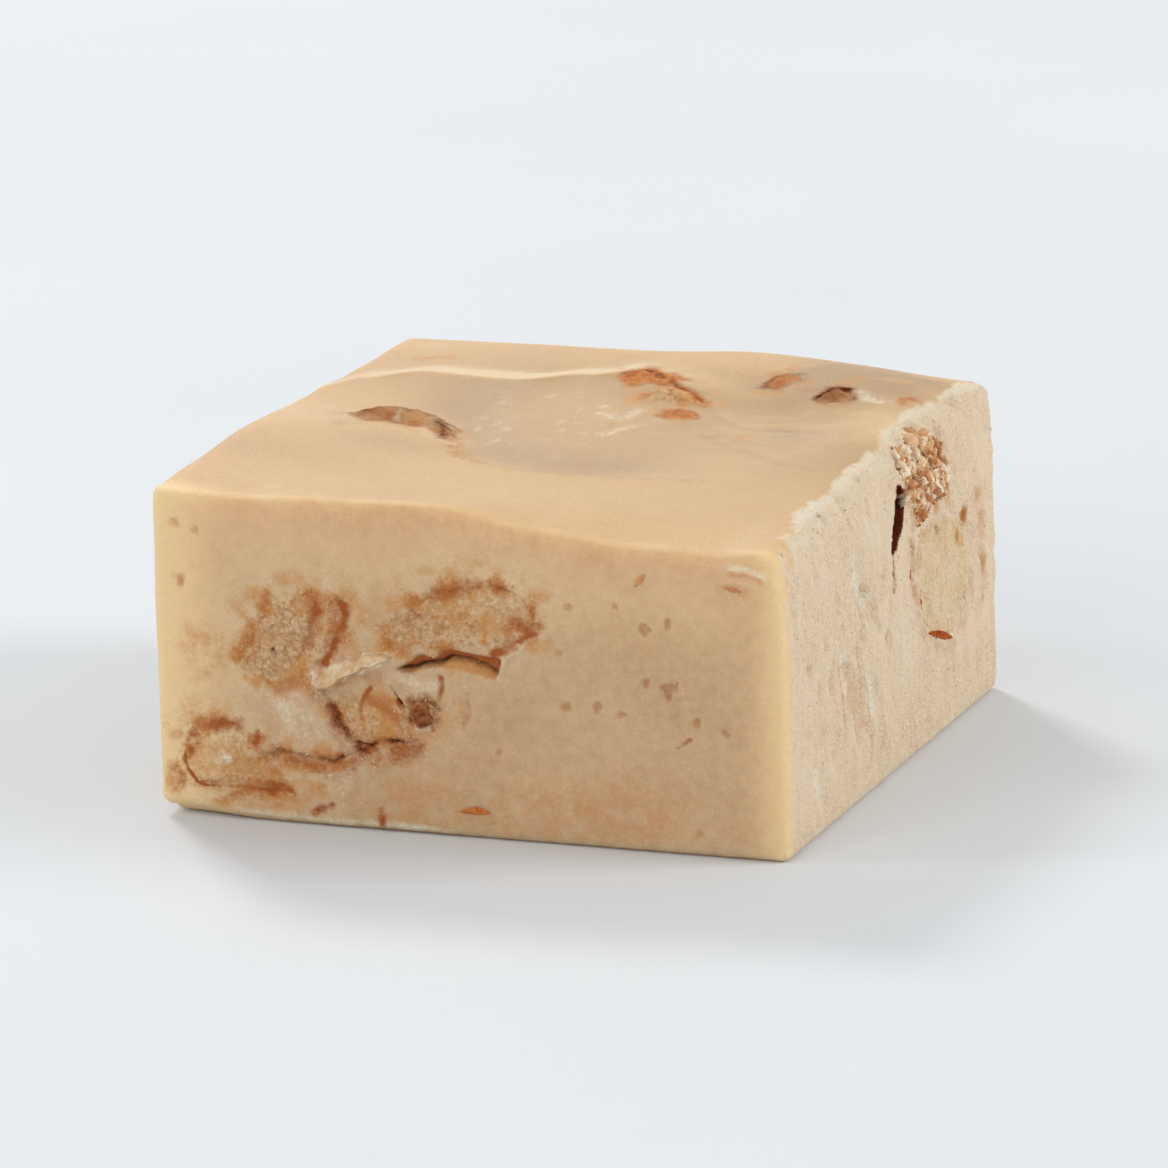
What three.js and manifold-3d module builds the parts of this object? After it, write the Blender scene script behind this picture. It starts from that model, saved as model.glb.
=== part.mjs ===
// A hand-cut square of maple fudge with nut pieces set in it, resting on its flat base.
// Millimetres, +Z up, origin under the middle of the block on the surface that it rests on.
// The block is worked out square first, in its own x (right), y (back) and z (up),
// and then skewed as it was cut.
import * as THREE from 'three';
import { mergeVertices } from 'three/addons/utils/BufferGeometryUtils.js';
import Module from 'manifold-3d';

// Driving dimensions of the block
const WIDTH = 57.15;
const DEPTH = 59.7;
const MEAN_HEIGHT = 28.9;
const CORNER_HEIGHT = { frontLeft: 30, frontRight: 27.7, backLeft: 30.1, backRight: 29.3 };
const BACK_SHIFT_X = 2.8; // the back edge stands this far right of the front edge
const RIGHT_SHIFT_Y = 2.64; // the right edge stands this far back of the left edge
const TOP_LEAN_X = -0.65; // the top leans this far over the base
const TOP_LEAN_Y = -0.07;
const TOP_EDGE_RADIUS = 1.1;
const BASE_EDGE_RADIUS = 0.95;
const GRID = { x: 26, y: 27, z: 13 };
const GRID_CROWDING = 0.25; // how much closer the grid lines stand at the edges

// Swells of the poured top: centre, rise, half length, half width and turn in degrees
const SWELLS = [
  { x: -9, y: 28, rise: 0.6, long: 15, wide: 7, turn: 0 },
  { x: 6, y: 28.5, rise: 1, long: 8, wide: 5, turn: 0 },
  { x: 17, y: 26, rise: 1, long: 8, wide: 4.5, turn: -10 },
  { x: -27, y: -9, rise: 0.65, long: 8, wide: 10, turn: 0 },
  { x: 25, y: 4, rise: 1.1, long: 7, wide: 10, turn: 0 },
  { x: 2, y: 18, rise: 0.7, long: 5, wide: 4, turn: 0 },
  { x: -15, y: -6.5, rise: 0.4, long: 6, wide: 3.5, turn: -15 },
  { x: 13, y: 13.5, rise: -0.5, long: 5.5, wide: 5, turn: 0 },
];

// The wave of the front edge: places along it and the rise at each, dying out behind the edge
const FRONT_WAVE = [
  [-28, -0.2], [-21, -0.3], [-13, 0.3], [-2, 0.8], [6, -0.3], [13, -0.8], [22, -0.7], [28, -0.1],
];
const FRONT_WAVE_REACH = 5;

// The fold across the top: its crest line, from the left edge to where it dies out near the middle
const FOLD_CREST = [[-28, 7], [-25.5, 11.2], [-20.5, 14.2], [-12, 14.3], [-6, 17.5], [-2, 20.5]];
const FOLD = { rise: 0.7, slopeLength: 6, backWidth: 3, endX: -1, fade: 1.5, edgeShare: 0.3, edgeSpan: 9 };

// The hollow before the fold: its front edge line, and from where to where it is full
const HOLLOW_EDGE = [
  [-24, -1], [-20, 1.6], [-15, 1.9], [-12, -1], [-10, -6], [-6.5, -11], [0, -13.6], [16, -11],
];
const HOLLOW = { drop: 0.6, lip: 0.8, length: 9, startX: -22, fullX: -12, fullEndX: 4, endX: 16 };

// The torn shoulder along the top of the right face: how far it stands back, and where it is deepest
const SHOULDER = { inset: 1.1, deepest: 2, y: 15, spread: 14, reach: 4, span: 10 };
const SHOULDER_BACK = { fade: 0.6, start: 22 };

// The lower front left corner is worn round, close to the rim of the base
const WORN_CORNER = { lift: 1.1, spread: 6, height: 3, rimFrom: 0.93, rimTo: 0.995 };

// Nut pieces
const GAP = 0.3; // clearance between a nut piece and its pocket
const CUT_OUT = 3; // how far a pocket's cutter reaches out of the face
const LIP = 0.25; // how far below the face a piece is widest
const OUTLINE_POINTS = 16;

// Rings of a nut piece: share of the outline, share of its proud height or of its depth
const CROWN = [[0.6, 0.85], [0.92, 0.4]];
const ROOT = [[0.85, 0.6], [0.45, 0.92]];

// Outlines are in millimetres along and up each face, seen from outside; on the top they are x and y
const NUT_PIECES = [
  {
    name: 'nut_front_left', face: 'front', finish: 'flesh', proud: 0.3, depth: 4,
    outline: [
      [-20.3, 15.2], [-19.6, 13.4], [-15.8, 12.9], [-11.4, 16.9], [-10.9, 20.4], [-15, 21], [-18, 20.2],
    ],
  },
  {
    name: 'nut_front_right', face: 'front', finish: 'flesh', proud: 0.3, depth: 4.5,
    outline: [
      [-7.2, 17.2], [-2.4, 17], [2.3, 17.4], [6.4, 19.8], [5.3, 22.3], [3.1, 23.1], [-0.5, 22.7],
      [-4.3, 21.1],
    ],
  },
  {
    name: 'nut_front_flake', face: 'front', finish: 'pale', proud: 0.8, depth: 2.2,
    outline: [[-13.9, 13.6], [-12.5, 12.9], [-9, 14.8], [-7, 15.9], [-8.3, 16.3], [-11.5, 15.3]],
  },
  {
    name: 'nut_front_middle', face: 'front', finish: 'flesh', proud: 0.4, depth: 3.5,
    outline: [
      [-11.6, 12.2], [-11.7, 10.3], [-10.7, 8.3], [-8.2, 7.8], [-5.6, 8.5], [-6, 10.4], [-8, 11.5],
      [-10, 12.3],
    ],
  },
  {
    name: 'nut_front_skin', face: 'front', finish: 'dark', proud: 0.5, depth: 2,
    outline: [[-5.3, 11.8], [-4.6, 9.7], [-3.1, 10.7], [-4, 12.1]],
  },
  {
    name: 'nut_front_low', face: 'front', finish: 'flesh', proud: 0.25, depth: 4,
    outline: [
      [-26.8, 5.1], [-25.2, 2.6], [-20.2, 2.7], [-17.2, 3], [-17.6, 5], [-20, 7], [-20.9, 8.8], [-23.2, 8.6],
      [-25.5, 7.5],
    ],
  },
  {
    name: 'nut_front_strip', face: 'front', finish: 'flesh', proud: 0.3, depth: 2,
    outline: [[-16, 5], [-12.8, 4.7], [-10.4, 5.6], [-10.3, 7], [-12.8, 6.1], [-16, 6.2]],
  },
  {
    name: 'nut_top_left', face: 'top', finish: 'dark', proud: 0.8, depth: 3,
    outline: [
      [-21.5, -1.2], [-20.6, 0.8], [-18, 1.9], [-15.2, 1.9], [-12.6, -0.2], [-11, -3.2], [-10.8, -5.6],
      [-12.4, -4.6], [-14.6, -3.4], [-18.4, -3.2],
    ],
  },
  {
    name: 'nut_top_crest', face: 'top', finish: 'skin', proud: 0.5, depth: 3,
    outline: [[-3.2, 17.4], [-0.4, 16.7], [2.5, 17.6], [1.2, 20.2], [-1.2, 21.3], [-2.9, 20.2]],
  },
  {
    name: 'nut_top_lobe', face: 'top', finish: 'flesh', proud: 0.6, depth: 3,
    outline: [[0.9, 13.4], [3.6, 13], [6, 14.2], [4.6, 15.8], [2.4, 16.1], [1, 15.3]],
  },
  {
    name: 'nut_top_lower', face: 'top', finish: 'skin', proud: 0.4, depth: 2.4,
    outline: [[3.4, 9.2], [5.2, 8.4], [7, 9.2], [5.9, 11.2], [4.4, 11.4]],
  },
  {
    name: 'nut_top_back', face: 'top', finish: 'skin', proud: 0.4, depth: 2.4,
    outline: [[9.2, 21.4], [10.9, 21.1], [12.5, 22.2], [11.4, 24], [9.8, 23.4]],
  },
  {
    name: 'nut_top_dark', face: 'top', finish: 'dark', proud: 0.4, depth: 2.4,
    outline: [[14.9, 19.1], [16, 18.3], [18, 19.2], [17.2, 20.8], [15.5, 20.7]],
  },
  {
    name: 'nut_side_crumbs', face: 'right', finish: 'flesh', proud: 0.2, depth: 3.5,
    crumbs: { count: 22, size: 0.8, spread: 0.5, share: 0.82, seed: 7 },
    outline: [
      [5.4, 26.8], [5.6, 24.8], [8.3, 22], [11.5, 22.4], [15.5, 22.6], [17, 24.6], [15.6, 27.2], [12, 28],
      [8.6, 27.6],
    ],
  },
  {
    name: 'nut_side_pale', face: 'right', finish: 'pale', proud: 0.25, depth: 4.5,
    outline: [
      [7.2, 19.6], [6.4, 15], [9.5, 10.6], [14.5, 8.9], [19.2, 10.2], [21.4, 14.4], [19.6, 18.2], [15, 20.2],
      [10.5, 20.6],
    ],
  },
  {
    name: 'nut_back_wide', face: 'back', finish: 'flesh', proud: 0.3, depth: 4.5,
    lobed: { u: 8, v: 13.5, long: 7.5, wide: 4.6 },
  },
  {
    name: 'nut_back_small', face: 'back', finish: 'skin', proud: 0.3, depth: 3.5,
    lobed: { u: -13, v: 19.5, long: 4.4, wide: 3 },
  },
  {
    name: 'nut_left_wide', face: 'left', finish: 'flesh', proud: 0.3, depth: 4.5,
    lobed: { u: -9, v: 17, long: 6.2, wide: 4.2 },
  },
  {
    name: 'nut_left_small', face: 'left', finish: 'flesh', proud: 0.3, depth: 3.5,
    lobed: { u: 13, v: 10, long: 4.6, wide: 2.8 },
  },
];
const LOBES = { count: 3, swell: 0.16, points: 10 };

// Open clefts in the fudge: the crack under a nut on the front, and the dark slit on the right face
const CLEFTS = [
  {
    face: 'front', depth: 2,
    outline: [[-6.5, 14.9], [-3.4, 15.3], [-0.6, 15.9], [2.7, 14.9], [2.7, 16.9], [-0.6, 17.2], [-3.6, 17.2]],
  },
  { face: 'right', depth: 2.4, outline: [[3.5, 25], [4.3, 24.5], [1.9, 21.9], [0.5, 20.8], [0.9, 22.2]] },
];

const FINISHES = {
  fudge: { color: '#d2ae85', roughness: 0.5 },
  flesh: { color: '#c79a62', roughness: 0.65 },
  skin: { color: '#a85f2f', roughness: 0.65 },
  dark: { color: '#6f3f2e', roughness: 0.65 },
  pale: { color: '#d9bf94', roughness: 0.65 },
};

// Multiplier and modulus of the repeatable random numbers
const RANDOM = { multiplier: 16807, modulus: 2147483647 };

const wasm = await Module();
wasm.setup();

function smoothStep(from, to, value) {
  return THREE.MathUtils.smoothstep(value, from, to);
}

// The value at x of a smooth line through points given from left to right
function lineAt(points, x) {
  const next = points.findIndex(([pointX]) => pointX > x);
  if (next === 0) return points[0][1];
  if (next < 0) return points.at(-1)[1];
  const [[x0, value0], [x1, value1]] = [points[next - 1], points[next]];
  return THREE.MathUtils.lerp(value0, value1, smoothStep(x0, x1, x));
}

// Top of the block

function cornerPlane(x, y) {
  const right = x / WIDTH + 0.5;
  const back = y / DEPTH + 0.5;
  const front = THREE.MathUtils.lerp(CORNER_HEIGHT.frontLeft, CORNER_HEIGHT.frontRight, right);
  const rear = THREE.MathUtils.lerp(CORNER_HEIGHT.backLeft, CORNER_HEIGHT.backRight, right);
  return THREE.MathUtils.lerp(front, rear, back);
}

function swellRise({ x: centreX, y: centreY, rise, long, wide, turn }, x, y) {
  const place = new THREE.Vector2(x - centreX, y - centreY);
  place.rotateAround(new THREE.Vector2(), -THREE.MathUtils.degToRad(turn));
  return rise * Math.exp(-((place.x / long) ** 2) - (place.y / wide) ** 2);
}

function frontWave(x, y) {
  const behind = y + DEPTH / 2;
  return lineAt(FRONT_WAVE, x) * Math.exp(-((behind / FRONT_WAVE_REACH) ** 2));
}

function foldRise(x, y) {
  const behind = y - lineAt(FOLD_CREST, x);
  const start = THREE.MathUtils.lerp(FOLD.edgeShare, 1, smoothStep(-WIDTH / 2, FOLD.edgeSpan - WIDTH / 2, x));
  const ending = 1 / (1 + Math.exp((x - FOLD.endX) / FOLD.fade));
  const slope = Math.exp(Math.min(behind, 0) / FOLD.slopeLength);
  const fall = Math.exp(-((Math.max(behind, 0) / FOLD.backWidth) ** 2));
  return FOLD.rise * start * ending * slope * fall;
}

function hollowDrop(x, y) {
  const behind = Math.max(y - lineAt(HOLLOW_EDGE, x), 0);
  const start = smoothStep(HOLLOW.startX, HOLLOW.fullX, x);
  const ending = 1 - smoothStep(HOLLOW.fullEndX, HOLLOW.endX, x);
  const profile = (1 - Math.exp(-behind / HOLLOW.lip)) * Math.exp(-behind / HOLLOW.length);
  return HOLLOW.drop * start * ending * profile;
}

function topHeight(x, y) {
  const swells = SWELLS.reduce((sum, swell) => sum + swellRise(swell, x, y), 0);
  return cornerPlane(x, y) + swells + frontWave(x, y) + foldRise(x, y) - hollowDrop(x, y);
}

// Sides of the block

function shoulderInset(y, depthBelowTop) {
  const along = SHOULDER.inset + SHOULDER.deepest * Math.exp(-(((y - SHOULDER.y) / SHOULDER.spread) ** 2));
  const backEnd = 1 - SHOULDER_BACK.fade * smoothStep(SHOULDER_BACK.start, DEPTH / 2, y);
  return along * backEnd * Math.exp(-Math.max(depthBelowTop, 0) / SHOULDER.reach);
}

function wornLift(point) {
  const fromCorner = Math.hypot(point.x + WIDTH / 2, point.y + DEPTH / 2);
  const rim = Math.max(Math.abs(point.x) / (WIDTH / 2), Math.abs(point.y) / (DEPTH / 2));
  const onRim = smoothStep(WORN_CORNER.rimFrom, WORN_CORNER.rimTo, rim);
  const low = Math.max(1 - point.z / WORN_CORNER.height, 0);
  return WORN_CORNER.lift * onRim * low * Math.exp(-((fromCorner / WORN_CORNER.spread) ** 2));
}

function skewed(point) {
  return new THREE.Vector3(
    point.x + (point.y * BACK_SHIFT_X) / DEPTH + (point.z / MEAN_HEIGHT - 0.5) * TOP_LEAN_X,
    point.y + (point.x * RIGHT_SHIFT_Y) / WIDTH + (point.z / MEAN_HEIGHT - 0.5) * TOP_LEAN_Y,
    point.z,
  );
}

function crowded(value, halfSize) {
  const share = value / halfSize;
  return halfSize * ((1 + GRID_CROWDING) * share - GRID_CROWDING * share ** 3);
}

function roundedEdge(point) {
  const radius = THREE.MathUtils.lerp(BASE_EDGE_RADIUS, TOP_EDGE_RADIUS, point.z / MEAN_HEIGHT + 0.5);
  const half = new THREE.Vector3(WIDTH / 2 - radius, DEPTH / 2 - radius, MEAN_HEIGHT / 2 - radius);
  const core = point.clone().clamp(half.clone().negate(), half);
  const out = point.clone().sub(core);
  return core.add(out.setLength(radius));
}

// A point of the plain box, moved to where it lies on the hand-cut block
function blockPoint(boxPoint) {
  const point = roundedEdge(boxPoint);
  point.z = ((point.z + MEAN_HEIGHT / 2) * topHeight(point.x, point.y)) / MEAN_HEIGHT;
  const nearRight = smoothStep(WIDTH / 2 - SHOULDER.span, WIDTH / 2, point.x);
  point.x -= nearRight * shoulderInset(point.y, topHeight(point.x, point.y) - point.z);
  point.z += wornLift(point);
  return skewed(point);
}

function blockGeometry() {
  const box = new THREE.BoxGeometry(WIDTH, DEPTH, MEAN_HEIGHT, GRID.x, GRID.y, GRID.z);
  box.deleteAttribute('normal');
  box.deleteAttribute('uv');
  const geometry = mergeVertices(box);
  const places = geometry.attributes.position;
  for (let i = 0; i < places.count; i += 1) {
    const point = new THREE.Vector3().fromBufferAttribute(places, i);
    point.set(
      crowded(point.x, WIDTH / 2),
      crowded(point.y, DEPTH / 2),
      crowded(point.z, MEAN_HEIGHT / 2),
    );
    places.setXYZ(i, ...blockPoint(point));
  }
  return geometry;
}

// Nut pieces

// Where a face's own coordinates, and a height out of the face, lie on the block
const FACES = {
  front: (u, v, out) => new THREE.Vector3(u, -DEPTH / 2 - out, v),
  back: (u, v, out) => new THREE.Vector3(-u, DEPTH / 2 + out, v),
  left: (u, v, out) => new THREE.Vector3(-WIDTH / 2 - out, -u, v),
  right: (u, v, out) => {
    const inset = shoulderInset(u, topHeight(WIDTH / 2, u) - v);
    return new THREE.Vector3(WIDTH / 2 + out - inset, u, v);
  },
  top: (u, v, out) => new THREE.Vector3(u, v, topHeight(u, v) + out),
};

function lobedOutline({ u, v, long, wide }) {
  return Array.from({ length: LOBES.points }, (_, i) => {
    const angle = (i / LOBES.points) * 2 * Math.PI;
    const reach = 1 + LOBES.swell * Math.cos(LOBES.count * angle);
    return [u + long * reach * Math.cos(angle), v + wide * reach * Math.sin(angle)];
  });
}

// Evenly spaced points on the smooth closed outline, with the way out of it at each
function outlinePoints(piece) {
  const corners = (piece.outline ?? lobedOutline(piece.lobed)).map(([u, v]) => new THREE.Vector2(u, v));
  if (THREE.ShapeUtils.isClockWise(corners)) corners.reverse();
  const places = corners.map((corner) => new THREE.Vector3(corner.x, corner.y, 0));
  const curve = new THREE.CatmullRomCurve3(places, true, 'centripetal');
  return Array.from({ length: OUTLINE_POINTS }, (_, i) => {
    const place = curve.getPointAt(i / OUTLINE_POINTS);
    const along = curve.getTangentAt(i / OUTLINE_POINTS);
    return { place: new THREE.Vector2(place.x, place.y), outward: new THREE.Vector2(along.y, -along.x) };
  });
}

function centreOf(points) {
  const centre = new THREE.Vector2();
  points.forEach(({ place }) => centre.addScaledVector(place, 1 / points.length));
  return centre;
}

// A closed body of rings round the outline, from a pole outside the face to a pole inside it
function ringedGeometry(piece, rings, firstPole, lastPole, grow) {
  const points = outlinePoints(piece);
  const centre = centreOf(points);
  const lay = (place, out) => skewed(FACES[piece.face](place.x, place.y, out)).toArray();
  const vertices = [lay(centre, firstPole)];
  for (const [share, out] of rings) {
    for (const { place, outward } of points) {
      const ringPlace = centre.clone().lerp(place, share).addScaledVector(outward, grow);
      vertices.push(lay(ringPlace, out));
    }
  }
  vertices.push(lay(centre, lastPole));
  const count = points.length;
  const ringVertex = (ring, i) => 1 + ring * count + (i % count);
  const triangles = [];
  for (let i = 0; i < count; i += 1) {
    triangles.push(0, ringVertex(0, i), ringVertex(0, i + 1));
    for (let ring = 0; ring + 1 < rings.length; ring += 1) {
      const [a, b] = [ringVertex(ring, i), ringVertex(ring, i + 1)];
      const [c, d] = [ringVertex(ring + 1, i), ringVertex(ring + 1, i + 1)];
      triangles.push(a, c, b, b, c, d);
    }
    triangles.push(vertices.length - 1, ringVertex(rings.length - 1, i + 1), ringVertex(rings.length - 1, i));
  }
  const geometry = new THREE.BufferGeometry();
  geometry.setAttribute('position', new THREE.Float32BufferAttribute(vertices.flat(), 3));
  geometry.setIndex(triangles);
  return geometry;
}

function nutGeometry(piece) {
  const rings = [
    ...CROWN.map(([share, height]) => [share, height * piece.proud]),
    [1, -LIP],
    ...ROOT.map(([share, depth]) => [share, -depth * piece.depth]),
  ];
  return ringedGeometry(piece, rings, piece.proud, -piece.depth, 0);
}

// What is cut out of the fudge: a nut's pocket with its clearance, or a cleft with none
function hollowGeometry(piece, clearance) {
  const rings = [
    [1, CUT_OUT],
    [1, -LIP],
    ...ROOT.map(([share, depth]) => [share, -depth * piece.depth - clearance]),
  ];
  return ringedGeometry(piece, rings, CUT_OUT, -piece.depth - clearance, clearance);
}

// Joining and cutting

function toSolid(geometry) {
  const vertProperties = new Float32Array(geometry.attributes.position.array);
  const triVerts = new Uint32Array(geometry.index.array);
  return new wasm.Manifold(new wasm.Mesh({ numProp: 3, vertProperties, triVerts }));
}

function toGeometry(solid) {
  const { vertProperties, triVerts } = solid.getMesh();
  const geometry = new THREE.BufferGeometry();
  geometry.setAttribute('position', new THREE.BufferAttribute(new Float32Array(vertProperties), 3));
  geometry.setIndex(new THREE.BufferAttribute(new Uint32Array(triVerts), 1));
  return geometry;
}

// Repeatable random numbers from 0 to 1
function seededRandom(seed) {
  let state = seed;
  return () => {
    state = (state * RANDOM.multiplier) % RANDOM.modulus;
    return state / RANDOM.modulus;
  };
}

// Crumbs stand half sunk in the crown of a crumbled piece
function crumbSolids(piece) {
  const { count, size, spread, share, seed } = piece.crumbs;
  const random = seededRandom(seed);
  const points = outlinePoints(piece);
  const centre = centreOf(points);
  return Array.from({ length: count }, () => {
    const towards = points[Math.floor(random() * points.length)].place;
    const place = centre.clone().lerp(towards, share * Math.sqrt(random()));
    const crumb = new THREE.IcosahedronGeometry(size + spread * (random() - 0.5), 0);
    crumb.rotateX(random() * Math.PI);
    crumb.rotateY(random() * Math.PI);
    crumb.translate(...skewed(FACES[piece.face](place.x, place.y, piece.proud / 2)));
    crumb.deleteAttribute('normal');
    crumb.deleteAttribute('uv');
    return toSolid(mergeVertices(crumb));
  });
}

function nutSolid(piece) {
  const body = toSolid(nutGeometry(piece));
  if (!piece.crumbs) return body;
  return crumbSolids(piece).reduce((joined, crumb) => joined.add(crumb), body);
}

function meshOf(name, solid, finish) {
  const material = new THREE.MeshStandardMaterial({ ...FINISHES[finish], metalness: 0 });
  const mesh = new THREE.Mesh(toGeometry(solid), material);
  mesh.name = name;
  return mesh;
}

function fudgeSolid() {
  const hollows = [
    ...NUT_PIECES.map((piece) => hollowGeometry(piece, GAP)),
    ...CLEFTS.map((cleft) => hollowGeometry(cleft, 0)),
  ];
  return hollows.reduce((cut, hollow) => cut.subtract(toSolid(hollow)), toSolid(blockGeometry()));
}

const fudgeSquare = new THREE.Group();
fudgeSquare.add(meshOf('fudge', fudgeSolid(), 'fudge'));
for (const piece of NUT_PIECES) {
  fudgeSquare.add(meshOf(piece.name, nutSolid(piece), piece.finish));
}

export default fudgeSquare;
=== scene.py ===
"""A hand-cut square of maple fudge with nut pieces: the looks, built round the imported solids."""
import itertools
import math
from typing import NamedTuple

import bmesh
import bpy
import numpy as np
from mathutils import Matrix, Vector


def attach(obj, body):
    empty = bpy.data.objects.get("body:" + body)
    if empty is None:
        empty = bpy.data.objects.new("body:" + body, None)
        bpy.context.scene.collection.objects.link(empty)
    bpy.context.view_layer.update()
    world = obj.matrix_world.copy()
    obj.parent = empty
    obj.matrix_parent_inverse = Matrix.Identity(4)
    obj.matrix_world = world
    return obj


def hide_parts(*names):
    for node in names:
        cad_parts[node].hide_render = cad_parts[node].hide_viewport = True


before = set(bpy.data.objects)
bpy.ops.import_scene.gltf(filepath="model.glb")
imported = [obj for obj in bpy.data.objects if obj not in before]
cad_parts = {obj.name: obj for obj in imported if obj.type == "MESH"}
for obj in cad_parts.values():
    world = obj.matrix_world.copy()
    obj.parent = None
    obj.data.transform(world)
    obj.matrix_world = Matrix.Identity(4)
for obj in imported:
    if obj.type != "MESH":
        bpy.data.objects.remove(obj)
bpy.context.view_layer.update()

MM = 0.001  # shapes are worked out in millimetres and made in metres

# Driving dimensions of the block, as in the part's source
WIDTH = 57.15
DEPTH = 59.7
MEAN_HEIGHT = 28.9
FRONT_LEFT, FRONT_RIGHT, BACK_LEFT, BACK_RIGHT = 30.0, 27.7, 30.1, 29.3
BACK_SHIFT_X, RIGHT_SHIFT_Y = 2.8, 2.64
TOP_LEAN_X, TOP_LEAN_Y = -0.65, -0.07
TOP_EDGE_RADIUS, BASE_EDGE_RADIUS = 1.1, 0.95

# Camera, fitted to the photograph's corners and outline
CAMERA_AZIMUTH, CAMERA_ELEVATION = 18.079, 15.118
CAMERA_DISTANCE = 659.353
CAMERA_TARGET = (-0.476, 0.0, 15.417)
CAMERA_LENS, CAMERA_SENSOR = 225.0, 36.0

# Swells of the poured top: centre x and y, rise, half length, half width, turn in degrees
SWELLS = [
    (-9, 28, 0.6, 15, 7, 0),
    (6, 28.5, 1.0, 8, 5, 0),
    (17, 26, 1.0, 8, 4.5, -10),
    (-27, -9, 0.65, 8, 10, 0),
    (25, 4, 1.1, 7, 10, 0),
    (2, 18, 0.7, 5, 4, 0),
    (-15, -6.5, 0.4, 6, 3.5, -15),
    (13, 13.5, -0.5, 5.5, 5, 0),
]

# The wave of the front edge: places along it and the rise at each, dying out behind the edge
FRONT_WAVE = [(-28, -0.2), (-21, -0.3), (-13, 0.3), (-2, 0.8), (6, -0.3), (13, -0.8), (22, -0.7), (28, -0.1)]
FRONT_WAVE_REACH = 5

# The fold across the top: its crest line, from the left edge to where it dies out near the middle
FOLD_CREST = [(-28, 7), (-25.5, 11.2), (-20.5, 14.2), (-12, 14.3), (-6, 17.5), (-2, 20.5)]
FOLD_RISE, FOLD_SLOPE, FOLD_BACK_WIDTH = 0.7, 6, 3
FOLD_END_X, FOLD_FADE, FOLD_EDGE_SHARE, FOLD_EDGE_SPAN = -1, 1.5, 0.3, 9
CREST_RISE, CREST_WIDTH = 0.14, 0.9  # the sharp line along the crest
TERRACE_RISE, TERRACE_MIDDLE, TERRACE_HALF = 0.3, 2.8, 2  # the flat band behind the crest

# The hollow before the fold: its front edge line, and from where to where it is full
HOLLOW_EDGE = [(-24, -1), (-20, 1.6), (-15, 1.9), (-12, -1), (-10, -6), (-6.5, -11), (0, -13.6), (16, -11)]
HOLLOW_DROP, HOLLOW_LIP, HOLLOW_LENGTH = 0.6, 0.8, 9
HOLLOW_START, HOLLOW_END = (-22, -12), (4, 16)

# The foot of the mound at the back of the top
MOUND_FOOT = [(8.5, 21.4), (14, 20.6), (19, 20.2), (24, 19)]

# The torn shoulder along the top of the right face
SHOULDER_INSET, SHOULDER_DEEPEST, SHOULDER_Y, SHOULDER_SPREAD = 1.1, 2, 15, 14
SHOULDER_REACH, SHOULDER_SPAN, SHOULDER_BACK_FADE, SHOULDER_FADE_START = 4, 10, 0.6, 22

# The ragged line at which the smooth top gives way to the torn right side
RAGGED_Y = (-28.4, -19.7, -12.9, -3.7, 0.4, 7.2, 17.7, 19.9, 27.6, 29.3)
RAGGED_X = (27.9, 25.8, 25.8, 25.4, 26.4, 25.1, 23.5, 24.8, 25.4, 27.0)
TORN_STEP = 0.2  # the torn side lies this much lower
TORN_START = (0.4, 2.6)  # how far behind the front edge the torn side sets in

# The worn lower front left corner
WORN_LIFT, WORN_SPREAD, WORN_HEIGHT = 1.1, 6, 3
WORN_RIM = (0.93, 0.995)

# How the nut pieces sit in the fudge
LIP = 0.25  # depth at which a piece is widest
SEAT, SEAT_BORDER = 0.9, (-0.15, -0.6)  # depth of the seat in the fudge under a piece, and its soft border
BORDER = {"front": 0.3, "back": 0.3, "left": 0.3, "right": 0.6, "top": 0.7}  # half width of the soft border
WOBBLE, WOBBLE_SIZE = 0.25, 1.4
NUT_RAGGED = 0.3
NUT_MARGIN, CLEFT_MARGIN = 5, 2  # how far round a nut, or round the crack and the slit, its marks can reach
SUNK, RISEN = 0.03, 0.05  # a cut nut's rim lies this far under the fudge, and its middle this far over it
FOLD_HEIGHT = 0.16  # of the folds of a domed nut's skin
LUMP_RELIEF = {"front": 0.08, "back": 0.08, "left": 0.08, "right": 0.08, "top": 0.05}
OUTLINE_POINTS = 96

# Fineness of the meshes
GRID_STEP = 0.71
# Regions of the fudge where the step is halved, one after the other: face, lowest and highest place on it
FINE_REGIONS = [
    ("front", (-30, -1), (30, 31)),
    ("right", (-31, -1), (31, 31)),
    ("top", (-27, -17), (27, 28)),
    ("front", (-27.3, 1.8), (7.5, 23.6)),
    ("front", (7.5, 7), (25, 24)),
    ("right", (-1, 15.5), (6, 27)),
    ("back", (-1, 7.5), (17, 19.5)),
    ("back", (-18.5, 15.5), (-8, 23.5)),
    ("left", (-17, 11.5), (-1, 22.5)),
    ("left", (7, 6), (19, 14)),
]
NUT_STEP = 0.12
FLECK_STEP = 0.1

# The stain channels carry painted shade, highlights and glow too, besides the real stains
STAINS = ("skin", "dark", "amber", "pale")  # channels of the stain attribute
# IN_PIT marks where the pits' shade is painted
TORN, POURED, NUT_SHARE, IN_PIT = range(4)  # channels of the finish attribute
# SLOPE holds the painted shade and light of the top, GLOW the painted glow of the thin edges
LUMP, GLOW, SLOPE, NEAR_NUT = range(4)  # channels of the tone attribute
CHANNELS = 4


class Look(NamedTuple):
    """What the materials read at each vertex."""
    stain: np.ndarray
    finish: np.ndarray
    tone: np.ndarray


def blank_look(count):
    return Look(*(np.zeros((count, CHANNELS)) for _ in Look._fields))


class Nut(NamedTuple):
    """A nut piece set into a face, with its outline along and up the face."""
    face: str
    slot: str
    crown: str
    proud: float
    depth: float
    outline: list
    tilt: tuple = (0.0, 0.0)
    bare: float = 1.0  # the rest is covered by a film of fudge


LOBE_COUNT, LOBE_SWELL, LOBE_POINTS = 3, 0.16, 10


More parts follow.
